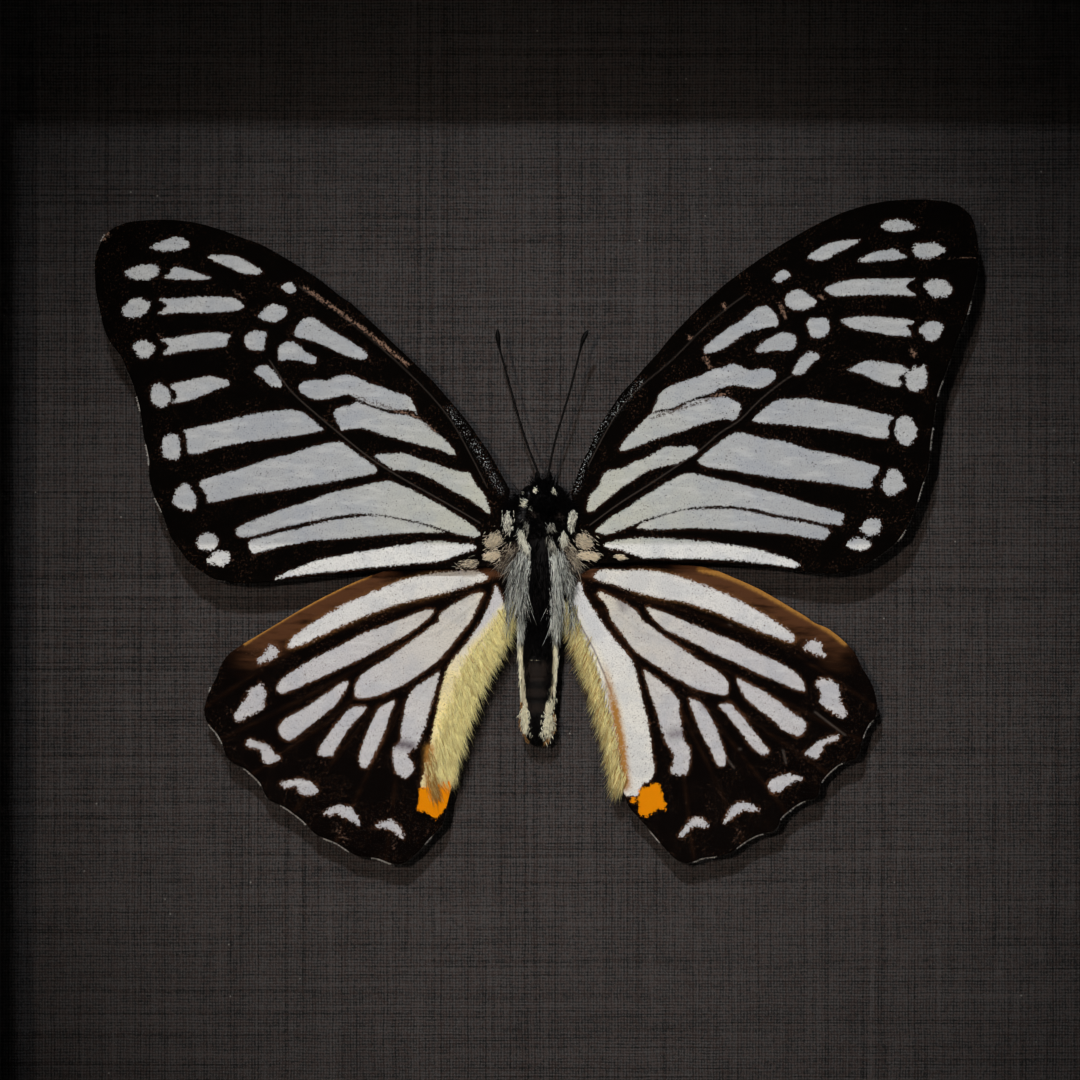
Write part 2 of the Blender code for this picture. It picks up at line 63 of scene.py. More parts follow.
LEFT_FOREWING = {
    "edge": [
        (-3, 5), (-4.1, 7), (-5, 8.6), (-5.9, 9.9), (-7, 11.5), (-8.2, 13), (-9.5, 14.5), (-10.6, 15.75),
        (-11.9, 17.05), (-13.3, 18.4), (-14.8, 19.8), (-16, 21), (-17.4, 22.3), (-18.8, 23.6), (-20, 24.4),
        (-22, 26), (-24, 27.3), (-26, 28.5), (-28, 29.6), (-30, 30.3), (-32, 31.05), (-34.3, 31.7),
        (-36.6, 32), (-38.9, 32), (-41, 31.8), (-42.5, 31.3), (-43.5, 30.5), (-44.1, 29.3), (-44.5, 28),
        (-44.5, 26.4), (-44.4, 24.9), (-44, 22.9), (-43.6, 21.2), (-43, 19.85), (-42.2, 18.8), (-41.7, 18),
        (-41.2, 16.8), (-40.7, 15.6), (-40.3, 14.3), (-40, 13.1), (-39.8, 11.7), (-39.6, 10.3),
        (-39.3, 9.1), (-39.1, 7.9), (-39.1, 6.6), (-38.9, 5.4), (-38.5, 4.2), (-37.9, 3), (-37.5, 1.9),
        (-37.1, 0.7), (-36.6, -0.2), (-35.8, -1.3), (-35, -2.3), (-34, -3), (-32.8, -3.8), (-31.5, -4.1),
        (-30, -4.3), (-28.2, -4.3), (-26.5, -4.1), (-24, -3.85), (-20, -3.4), (-17, -3.1), (-14, -3),
        (-11, -2.9), (-8, -2.9), (-4, -2.4),
    ],
    "patches": [
        (0.16, [
            (-38.9, 29.3), (-38.2, 29), (-36.7, 28.9), (-35.8, 29.1), (-35.1, 29.5), (-35.5, 30),
            (-36.2, 30.3), (-37, 30.2), (-37.9, 29.8),
        ]),
        (0.16, [
            (-41.5, 26.8), (-41.1, 26.3), (-40.1, 26.05), (-39, 26.1), (-38.2, 26.7), (-38.3, 27.3),
            (-38.9, 27.6), (-39.8, 27.5), (-40.7, 27.2),
        ]),
        (0.1, [
            (-37.6, 26.2), (-34.3, 26), (-32.9, 26.2), (-33.7, 26.5), (-35.1, 27), (-36.3, 27.3),
            (-36.9, 27), (-37, 26.6),
        ]),
        (0.06, [
            (-33.2, 28.3), (-32.8, 28.5), (-30.5, 28.4), (-29.6, 28), (-28.7, 27.5), (-27.8, 26.9),
            (-28, 26.6), (-29.3, 26.6), (-30.1, 26.8), (-31.3, 27.4), (-32.4, 27.8),
        ]),
        (0.06, [
            (-25.9, 25.4), (-25.1, 25.8), (-24.6, 25.4), (-24.4, 25), (-24.9, 24.6), (-25.6, 25),
        ]),
        (0.16, [
            (-41.8, 22.9), (-41.3, 22.3), (-40.1, 22.3), (-39.4, 22.8), (-39, 23.6), (-39.4, 24),
            (-40.1, 24.2), (-40.9, 24), (-41.5, 23.4),
        ]),
        (0.06, [
            (-38.1, 24.1), (-36.4, 24.15), (-34.3, 24.3), (-32, 24.3), (-30.7, 24.2), (-30, 23.8),
            (-29.6, 23.4), (-29.9, 23.1), (-31.2, 22.85), (-33.5, 22.75), (-35.8, 22.75), (-38.2, 22.6),
            (-37.7, 23), (-37.3, 23.5), (-37.7, 23.8),
        ]),
        (0.06, [
            (-28.2, 22.4), (-27.7, 22.9), (-27.2, 23.4), (-26.6, 23.6), (-25.9, 23.4), (-25.3, 23.05),
            (-25.5, 22.4), (-26.5, 21.8), (-27.5, 22),
        ]),
        (0.06, [
            (-29.5, 20.3), (-28.9, 20.8), (-28.1, 20.9), (-27.4, 20.75), (-27.5, 20), (-27.7, 19),
            (-29.1, 19.1), (-29.5, 19.6),
        ]),
        (0.16, [
            (-40.7, 19.3), (-40.3, 19.8), (-39.6, 20), (-39, 19.7), (-38.5, 19.1), (-38.9, 18.5),
            (-39.4, 18.2), (-40.1, 18.3), (-40.4, 18.9),
        ]),
        (0.06, [
            (-38, 20.05), (-36.8, 20.2), (-35, 20.5), (-33, 20.75), (-31.5, 20.65), (-30.9, 20.45),
            (-31.2, 20.1), (-31.4, 19.5), (-32, 19.3), (-34, 19.1), (-36, 18.8), (-37.6, 18.5),
            (-37.4, 19), (-37.1, 19.4), (-37.5, 19.75),
        ]),
        (0.16, [
            (-38.8, 15.2), (-38.6, 15.6), (-38.1, 15.7), (-37.6, 15.3), (-37, 14.8), (-36.9, 14.4),
            (-37, 13.9), (-37.3, 13.5), (-37.9, 13.3), (-38.5, 13.5), (-38.9, 14.1),
        ]),
        (0.06, [
            (-37, 15.45), (-35.5, 15.9), (-34, 16.2), (-33, 16.4), (-32, 16.15), (-31.2, 15.95),
            (-31.1, 15.5), (-32, 15.2), (-33.5, 14.6), (-35, 14), (-36.7, 13.7), (-36.3, 14.2),
            (-36.4, 14.8),
        ]),
        (0.06, [
            (-28.5, 16.8), (-28.2, 17.3), (-27.4, 17.45), (-26.7, 17), (-26.1, 16.2), (-25.8, 15.6),
            (-26, 15.3), (-26.8, 15.4), (-27.4, 15.9), (-28, 16.4),
        ]),
        (0.06, [
            (-26.2, 18.7), (-26, 19.4), (-25, 19.85), (-24, 19.4), (-23.5, 18.8), (-22.6, 18.4),
            (-22.35, 18.1), (-22.6, 17.65), (-23.3, 17.7), (-24, 17.95), (-25, 18.05), (-26, 17.95),
        ]),
        (0.06, [
            (-24.6, 20.8), (-24.2, 21.5), (-23.6, 22.1), (-22.8, 22.2), (-22, 21.8), (-20.5, 20.75),
            (-19, 19.9), (-18, 19.2), (-17.4, 18.7), (-17.3, 18.2), (-18, 18.1), (-19, 18.3), (-20, 18.7),
            (-21.5, 19.4), (-23, 20), (-24.3, 20.3),
        ]),
        (0.06, [
            (-24.1, 15.2), (-23.7, 15.8), (-22.5, 16), (-21.3, 15.95), (-20.2, 16.4), (-19.2, 16.5),
            (-18.4, 16.3), (-17, 15.7), (-15.5, 15.15), (-14, 14.6), (-13.2, 14.4), (-12.7, 13.8),
            (-12.4, 12.9), (-12.3, 12.5), (-12.6, 12.9), (-13.4, 13.05), (-14.5, 13), (-15.4, 13.1),
            (-16.5, 13.4), (-17.5, 13.8), (-18.5, 14.2), (-19.2, 14.6), (-20, 14.4), (-21, 14.2),
            (-22.2, 14.05), (-23.2, 14.3), (-23.8, 14.7),
        ]),
        (0.06, [
            (-20.6, 12.6), (-20.2, 13.2), (-19.2, 13.4), (-18.3, 13.8), (-17.5, 13.5), (-16.5, 13.15),
            (-15.5, 12.8), (-14.6, 12.6), (-13.5, 12.55), (-12.5, 12.2), (-11.5, 11.8), (-10.8, 11),
            (-9.9, 10.3), (-9.1, 9.6), (-8.6, 8.9), (-8.4, 8.5), (-9, 8.55), (-10, 9), (-11.5, 9.4),
            (-13, 9.8), (-14.5, 10.2), (-16, 10.6), (-17, 11), (-18, 11.2), (-19.2, 11.1), (-19.9, 11),
            (-20.1, 11.5),
        ]),
        (0.06, [
            (-16.5, 8.3), (-16.1, 8.6), (-15, 8.6), (-14, 8.7), (-13, 8.5), (-12, 8.1), (-10.5, 7.6),
            (-9, 7.1), (-8, 6.8), (-7.2, 6.75), (-6.8, 6.3), (-6.4, 5.5), (-5.7, 4.7), (-5.3, 3.9),
            (-5.1, 3.2), (-5.05, 2.7), (-5.5, 2.9), (-6.4, 3.6), (-7.3, 4.2), (-8.5, 4.8), (-9.7, 5.5),
            (-11, 6.2), (-12.3, 6.8), (-13.5, 7), (-14.5, 7), (-15.5, 7.6), (-16.2, 8.1),
        ]),
        (0.06, [
            (-35.6, 10.95), (-34, 11.35), (-32, 11.75), (-30, 12.3), (-28, 12.7), (-26, 12.95),
            (-24.8, 13), (-23.7, 12.7), (-22.8, 12.1), (-22.1, 11.4), (-21.7, 11), (-22.5, 10.8),
            (-24, 10.5), (-26, 10.25), (-28, 10), (-30, 9.7), (-31.5, 9.4), (-33, 9), (-34.2, 8.65),
            (-35, 8.6), (-35.25, 9.2), (-35.3, 10), (-35.4, 10.6),
        ]),
        (0.06, [
            (-34.1, 5.6), (-33.5, 6.1), (-32, 6.55), (-30.3, 7), (-28.5, 7.6), (-26.7, 8.2), (-25, 8.6),
            (-23.5, 9.1), (-22, 9.5), (-20.8, 9.75), (-20, 9.8), (-19.3, 9.4), (-18, 8.4), (-17.2, 7.8),
            (-16.5, 7.3), (-16.3, 7), (-16.6, 6.7), (-18, 6.4), (-20, 6), (-22, 5.6), (-24, 5.3), (-26, 5),
            (-28, 4.75), (-30, 4.4), (-31.5, 4), (-32.5, 3.85), (-33.3, 3.8), (-33.3, 4.4), (-33.7, 5.1),
        ]),
        (0.16, [
            (-37.8, 9.3), (-37.6, 10.2), (-36.8, 10.65), (-36.2, 10.3), (-36, 9.5), (-36, 8.7),
            (-36.2, 8.1), (-36.9, 8.1), (-37.5, 8.2), (-37.7, 8.8),
        ]),
        (0.16, [
            (-36.6, 4.2), (-36.3, 5.1), (-35.4, 5.7), (-34.9, 5.1), (-34.5, 4.3), (-34.4, 3.6), (-34.7, 3),
            (-35.4, 3), (-36.1, 3.2), (-36.6, 3.6),
        ]),
        (0.2, [
            (-34.3, -0.3), (-34, 0.4), (-33.1, 0.7), (-32.4, 0.3), (-32.2, -0.3), (-32.6, -0.9),
            (-33.4, -1), (-34.1, -0.8),
        ]),
        (0.22, [
            (-33.3, -2.2), (-33, -1.7), (-32.4, -1.2), (-31.7, -1.15), (-31, -1.5), (-31.1, -2.1),
            (-31.8, -2.6), (-32.6, -2.4),
        ]),
        (0.06, [
            (-30.4, 0.9), (-30, 1.4), (-28.5, 2), (-27, 2.6), (-25, 3.3), (-24, 3.6), (-22.5, 4.1),
            (-21, 4.7), (-19, 5.1), (-17, 5.6), (-15.6, 5.85), (-14.8, 5.8), (-13.5, 5.3), (-12, 4.6),
            (-10, 3.5), (-8.5, 2.6), (-7, 1.6), (-6.3, 1), (-6, 0.6), (-6.3, 0.3), (-7, 0.35), (-8.5, 0.7),
            (-10, 1.2), (-12, 1.75), (-14, 2.2), (-16, 2.5), (-18, 2.65), (-20, 2.45), (-22, 2.1),
            (-24, 1.65), (-26, 1.2), (-28, 0.6), (-29.5, 0.3), (-30.2, 0.4),
        ]),
        (0.06, [
            (-29.1, -0.3), (-28.7, 0), (-27, 0.45), (-25, 0.95), (-24, 1.15), (-22, 1.7), (-20, 2.1),
            (-18, 2.3), (-16, 2.4), (-14.5, 2.15), (-13, 1.85), (-11, 1.3), (-10, 0.95), (-9.6, 0.8),
            (-11, 0.75), (-13, 0.75), (-15, 0.6), (-17, 0.4), (-19, 0.2), (-21, 0.05), (-22.5, 0),
            (-24, -0.3), (-26, -0.65), (-28, -1.2), (-28.7, -1.35), (-29.1, -0.8),
        ]),
        (0.12, [
            (-26.5, -3.95), (-25.5, -3.3), (-24, -2.7), (-22.5, -2.1), (-21.5, -1.85), (-20, -1.6),
            (-18, -1.2), (-16, -0.9), (-14, -0.55), (-12, -0.25), (-10, -0.15), (-8.5, -0.3), (-7.2, -0.4),
            (-6.6, -0.6), (-6.5, -0.9), (-7.3, -1.15), (-8.5, -1.6), (-10, -2.1), (-12, -2.3), (-14, -2.5),
            (-16, -2.65), (-18, -2.85), (-20, -3.05), (-22, -3.25), (-24, -3.5), (-25.5, -3.7),
        ]),
    ],
}
RIGHT_FOREWING = {
    "edge": [
        (3.1, 4.7), (3.6, 6.2), (4.2, 7.7), (5, 9.4), (5.9, 11.3), (7, 13), (8.1, 14.6), (9.3, 15.9),
        (10.6, 17.4), (11.8, 18.7), (13, 20.2), (14.3, 21.6), (15.5, 22.85), (17, 24.25), (18.3, 25.4),
        (19.6, 26.4), (21.2, 27.55), (23, 28.8), (25, 30.05), (27, 31.2), (29, 32.2), (31, 33), (33.5, 33.7),
        (36, 34), (38.5, 34.05), (40.8, 33.8), (42, 33.4), (43, 32.5), (43.5, 31.3), (43.8, 29.5),
        (43.8, 27.5), (43.6, 26), (43.2, 24.4), (42.8, 22.8), (42.3, 21.4), (41.7, 20), (41.3, 18.8),
        (40.9, 17.7), (40.4, 16.3), (40, 15.3), (39.7, 14.3), (39.5, 13), (39.3, 11.5), (39.1, 10.3),
        (39, 9.2), (38.9, 8), (38.8, 7), (38.4, 6), (38, 4.8), (37.6, 3.5), (37.1, 2.2), (36.5, 1),
        (35.9, 0.1), (35.2, -0.6), (34.2, -1.4), (33, -2.2), (32, -2.8), (31, -3.1), (29.5, -3.3),
        (28, -3.3), (26, -3.1), (24.5, -2.9), (22, -2.6), (20, -2.5), (17, -2.3), (14, -2.2), (11.5, -2.1),
        (10, -2.2), (8, -2.3), (4.2, -2.3),
    ],
    "patches": [
        (0.16, [
            (34.1, 31.5), (34.8, 31.9), (35.8, 32.1), (36.6, 31.9), (37.4, 31.5), (37.8, 31.3),
            (37.2, 31.1), (36, 30.85), (35, 30.95), (34.3, 31.2),
        ]),
        (0.16, [
            (37.3, 29.1), (37.6, 29.6), (38.5, 29.7), (39.4, 29.7), (40.1, 29.4), (40.6, 29), (40, 28.6),
            (39.2, 28.2), (38.2, 28.2), (37.6, 28.5),
        ]),
        (0.1, [
            (31.8, 27.95), (32.6, 28.4), (33.5, 28.8), (34.5, 28.95), (35.1, 29.1), (35.7, 29),
            (36.1, 28.7), (36.7, 28.3), (35.5, 28.05), (34, 27.95), (32.8, 27.8),
        ]),
        (0.06, [
            (26.8, 28.2), (27.2, 28.7), (28, 29.2), (29, 29.7), (30, 29.9), (31, 30), (32, 30),
            (31.5, 29.6), (30.5, 29.1), (29.5, 28.6), (28.5, 28), (27.4, 28),
        ]),
        (0.06, [
            (23.3, 26), (23.8, 26.7), (24.3, 27), (25, 26.6), (24.8, 26.2), (24.3, 26), (24, 25.8),
        ]),
        (0.16, [
            (38.4, 25.4), (38.8, 25.9), (39.6, 26.1), (40.3, 26), (40.9, 25.6), (41.2, 25), (40.9, 24.5),
            (40.2, 24.3), (39.4, 24.3), (38.9, 24.7),
        ]),
        (0.06, [
            (28.5, 25.1), (29, 25.4), (29.8, 25.75), (31, 26), (32.5, 26.1), (34, 26.1), (35.5, 26.1),
            (37.5, 26.15), (37, 25.8), (36.6, 25.4), (36.7, 25.1), (37, 24.9), (37.6, 24.45), (36, 24.5),
            (34, 24.5), (32, 24.5), (30, 24.4), (29.2, 24.5),
        ]),
        (0.06, [
            (24.5, 24.1), (24.8, 24.6), (25.5, 25), (26.3, 24.9), (27, 24.4), (27.6, 24), (27.5, 23.5),
            (26.8, 23.15), (25.8, 23), (25, 23.2), (24.6, 23.6),
        ]),
        (0.06, [
            (26.7, 21.6), (27, 22.1), (27.8, 22.2), (28.5, 22.2), (28.9, 21.7), (28.9, 21), (28.6, 20.5),
            (27.9, 20.25), (27.2, 20.3), (26.9, 21),
        ]),
        (0.16, [
            (37.9, 21), (38.4, 21.5), (39.2, 21.9), (40, 21.7), (40.3, 21.3), (40, 20.6), (39.7, 20.1),
            (39.1, 19.9), (38.6, 20.1), (38.2, 20.6),
        ]),
        (0.06, [
            (30.1, 22), (30.8, 22.2), (32, 22.35), (33.5, 22.3), (35, 22.2), (36.5, 22.1), (37.4, 21.8),
            (37, 21.6), (36.6, 21.4), (36.9, 21), (37.2, 20.5), (36.5, 20.4), (35, 20.5), (33.5, 20.8),
            (32, 21), (31.2, 21.2), (30.5, 21.6),
        ]),
        (0.16, [
            (36.6, 16.6), (36.6, 16), (36.8, 15.3), (37.3, 14.9), (38, 15), (38.6, 15.4), (38.7, 16.3),
            (38.6, 17), (38.4, 17.5), (37.8, 17.2), (37.4, 17.4), (37.2, 17),
        ]),
        (0.06, [
            (30.8, 17), (31.5, 17.4), (32.3, 17.8), (33.2, 17.9), (34.5, 17.75), (35.5, 17.6),
            (36.3, 17.4), (36.8, 17), (36.4, 16.6), (35.9, 16.4), (35.9, 16), (36.2, 15.6), (35.6, 15.35),
            (34.5, 15.6), (33.2, 16.1), (32.2, 16.6),
        ]),
        (0.06, [
            (25.3, 16.7), (25.5, 17.4), (26, 18.1), (26.6, 18.7), (27.2, 18.8), (27.8, 18.6), (28, 18.2),
            (27.4, 17.8), (26.8, 17.2), (26.4, 16.7), (25.7, 16.5),
        ]),
        (0.06, [
            (21.6, 19), (22.1, 19.6), (23, 20.2), (24, 20.7), (24.8, 20.7), (25.5, 20.4), (25.6, 19.8),
            (25.4, 19.2), (24.8, 18.95), (23.5, 19), (22.5, 18.8), (21.9, 18.75),
        ]),
        (0.06, [
            (16.4, 19.1), (16.9, 19.7), (17.8, 20.4), (19, 21.3), (20.2, 22), (21.2, 22.9), (22.3, 23.4),
            (23, 23.2), (23.5, 22.6), (23.8, 22), (23.7, 21.4), (22.8, 21.3), (21.5, 21), (20.3, 20.5),
            (19.2, 19.7), (18, 19), (16.7, 18.7),
        ]),
        (0.06, [
            (11.6, 13.6), (11.9, 14.4), (12.4, 15), (13.3, 15.5), (14.5, 15.9), (16, 16.4), (17.2, 17),
            (18.2, 17.2), (19.3, 17.6), (20.2, 17.3), (21, 16.95), (22, 17.15), (22.9, 17.1), (23.5, 16.7),
            (23.5, 16.1), (22.8, 15.6), (22, 15.2), (20.8, 15.3), (19.8, 15.5), (18.8, 15.4), (17.8, 15.1),
            (17.3, 14.75), (16, 14.4), (14.8, 13.9), (14, 13.6), (13.2, 13.2), (12.4, 13.1), (11.8, 13),
            (11.2, 12.7),
        ]),
        (0.06, [
            (8, 9.2), (8.3, 9.7), (8.8, 10.4), (9.5, 11), (10.2, 11.8), (11, 12.5), (11.8, 12.75),
            (12.8, 12.9), (13.8, 13.1), (14.6, 13.6), (15.6, 14), (16.8, 14.2), (17.8, 14.3), (18.6, 14.3),
            (19.3, 14), (20, 13.6), (20, 12.9), (19.6, 12.2), (19.2, 12), (18.3, 12.1), (17.2, 11.9),
            (15.8, 11.5), (14.2, 10.9), (12.5, 10.4), (11, 9.9), (9.8, 9.4), (8.6, 9), (8.1, 8.9),
        ]),
        (0.06, [
            (4.7, 3), (4.8, 3.9), (5.2, 4.7), (5.9, 5.4), (6.2, 6.3), (6.8, 6.9), (7.5, 7.05), (8.4, 7.2),
            (9.4, 7.8), (10.6, 8.2), (11.8, 8.9), (12.8, 9.35), (14, 9.3), (15.2, 9.4), (15.8, 9),
            (15.3, 8.5), (14.6, 8.1), (13.5, 7.6), (12.5, 7.4), (11.3, 7.1), (10.2, 6.6), (9.2, 5.9),
            (8.2, 5.3), (7.2, 4.5), (6, 3.5), (5.2, 2.85),
        ]),
        (0.06, [
            (21.3, 11.95), (21.9, 12.7), (22.8, 13.4), (23.8, 14), (25, 14.1), (26.6, 14.15), (28, 13.9),
            (29.5, 13.65), (31, 13.4), (32.5, 13), (34, 12.65), (35.4, 12.3), (35, 11.9), (34.8, 11.2),
            (34.9, 10.5), (34.5, 10.2), (33, 10.35), (31.5, 10.7), (30, 10.95), (28, 11.2), (26, 11.4),
            (24, 11.6), (22.5, 11.7),
        ]),
        (0.06, [
            (15.8, 7.9), (16.5, 8.6), (17.6, 9.5), (18.7, 10.3), (19.8, 10.75), (21, 10.5), (22.5, 10.1),
            (24, 9.95), (25.5, 9.5), (27, 9), (28.5, 8.75), (30, 8.4), (31.5, 8), (33, 7.6), (33.9, 7.3),
            (33.7, 6.7), (33.2, 6), (33.2, 5.4), (32.8, 5.2), (31, 5.4), (29.5, 5.65), (28, 5.8),
            (26, 6.05), (24, 6.2), (22.5, 6.4), (21, 6.65), (19, 7), (17.5, 7.2), (16.5, 7.4),
        ]),
        (0.16, [
            (35.5, 11), (35.7, 11.9), (36.3, 12.35), (37, 12.3), (37.4, 11.6), (37.7, 11), (37.5, 10.2),
            (37, 9.6), (36.4, 9.5), (35.8, 10),
        ]),
        (0.16, [
            (34.2, 5.6), (34.6, 6.4), (35, 7.1), (35.4, 7.1), (36.1, 6.7), (36.3, 6), (36.6, 5.3),
            (36, 4.9), (35.4, 4.5), (34.8, 4.5), (34.4, 4.9),
        ]),
        (0.2, [
            (32, 1.1), (32.3, 1.6), (32.8, 2.1), (33.4, 2.1), (34, 1.9), (34.1, 1.2), (33.8, 0.6),
            (33.2, 0.4), (32.6, 0.6),
        ]),
        (0.22, [
            (30.6, -0.5), (31.1, 0), (31.9, 0.25), (32.7, 0), (33.1, -0.4), (32.7, -0.9), (31.9, -1.05),
            (31.2, -0.85),
        ]),
        (0.06, [
            (5.6, 0.9), (6.3, 1.6), (7.3, 2.4), (8.6, 3.1), (10, 4.1), (11.5, 5), (13, 5.9), (14.2, 6.5),
            (15.2, 6.65), (16.5, 6.4), (18, 6), (19.5, 5.7), (21, 5.3), (22.5, 4.95), (24, 4.55),
            (25.5, 4.1), (27, 3.6), (28.5, 3.2), (29.8, 2.8), (30.4, 2.5), (30.2, 1.9), (30.2, 1.5),
            (29.2, 1.6), (28, 1.75), (26.5, 2.1), (25, 2.35), (23.5, 2.6), (22, 3), (20.5, 3.25),
            (19, 3.4), (17, 3.4), (15.5, 3.25), (14, 3), (12.5, 2.65), (11, 2.2), (9.5, 1.6), (8, 1),
            (7, 0.6), (6.3, 0.6),
        ]),
        (0.06, [
            (9.7, 1.2), (10.5, 1.8), (12, 2.3), (13.5, 2.75), (15, 3.05), (17, 3.1), (19, 3.1), (21, 2.8),
            (22.5, 2.45), (24, 2.15), (25.5, 1.9), (27, 1.6), (28.3, 1.3), (29, 0.9), (28.8, 0.4),
            (28.3, 0.1), (27, 0.2), (25.5, 0.5), (23.5, 0.7), (21, 0.9), (19, 1.05), (17, 1.15), (15, 1.2),
            (13, 1.1), (11, 1.1),
        ]),
        (0.12, [
            (6.4, -0.5), (7.2, -0.15), (8.5, 0.05), (10, 0.2), (12, 0.15), (14, 0.05), (16, -0.1),
            (18, -0.35), (20, -0.65), (22, -1.05), (23.5, -1.5), (25, -1.95), (26, -2.5), (25.4, -2.7),
            (24, -2.55), (22, -2.3), (20, -2.05), (18, -1.95), (16, -1.85), (14, -1.85), (12, -1.8),
            (10.5, -1.75), (9, -1.3), (7.8, -0.95), (6.8, -0.8),
        ]),
    ],
}
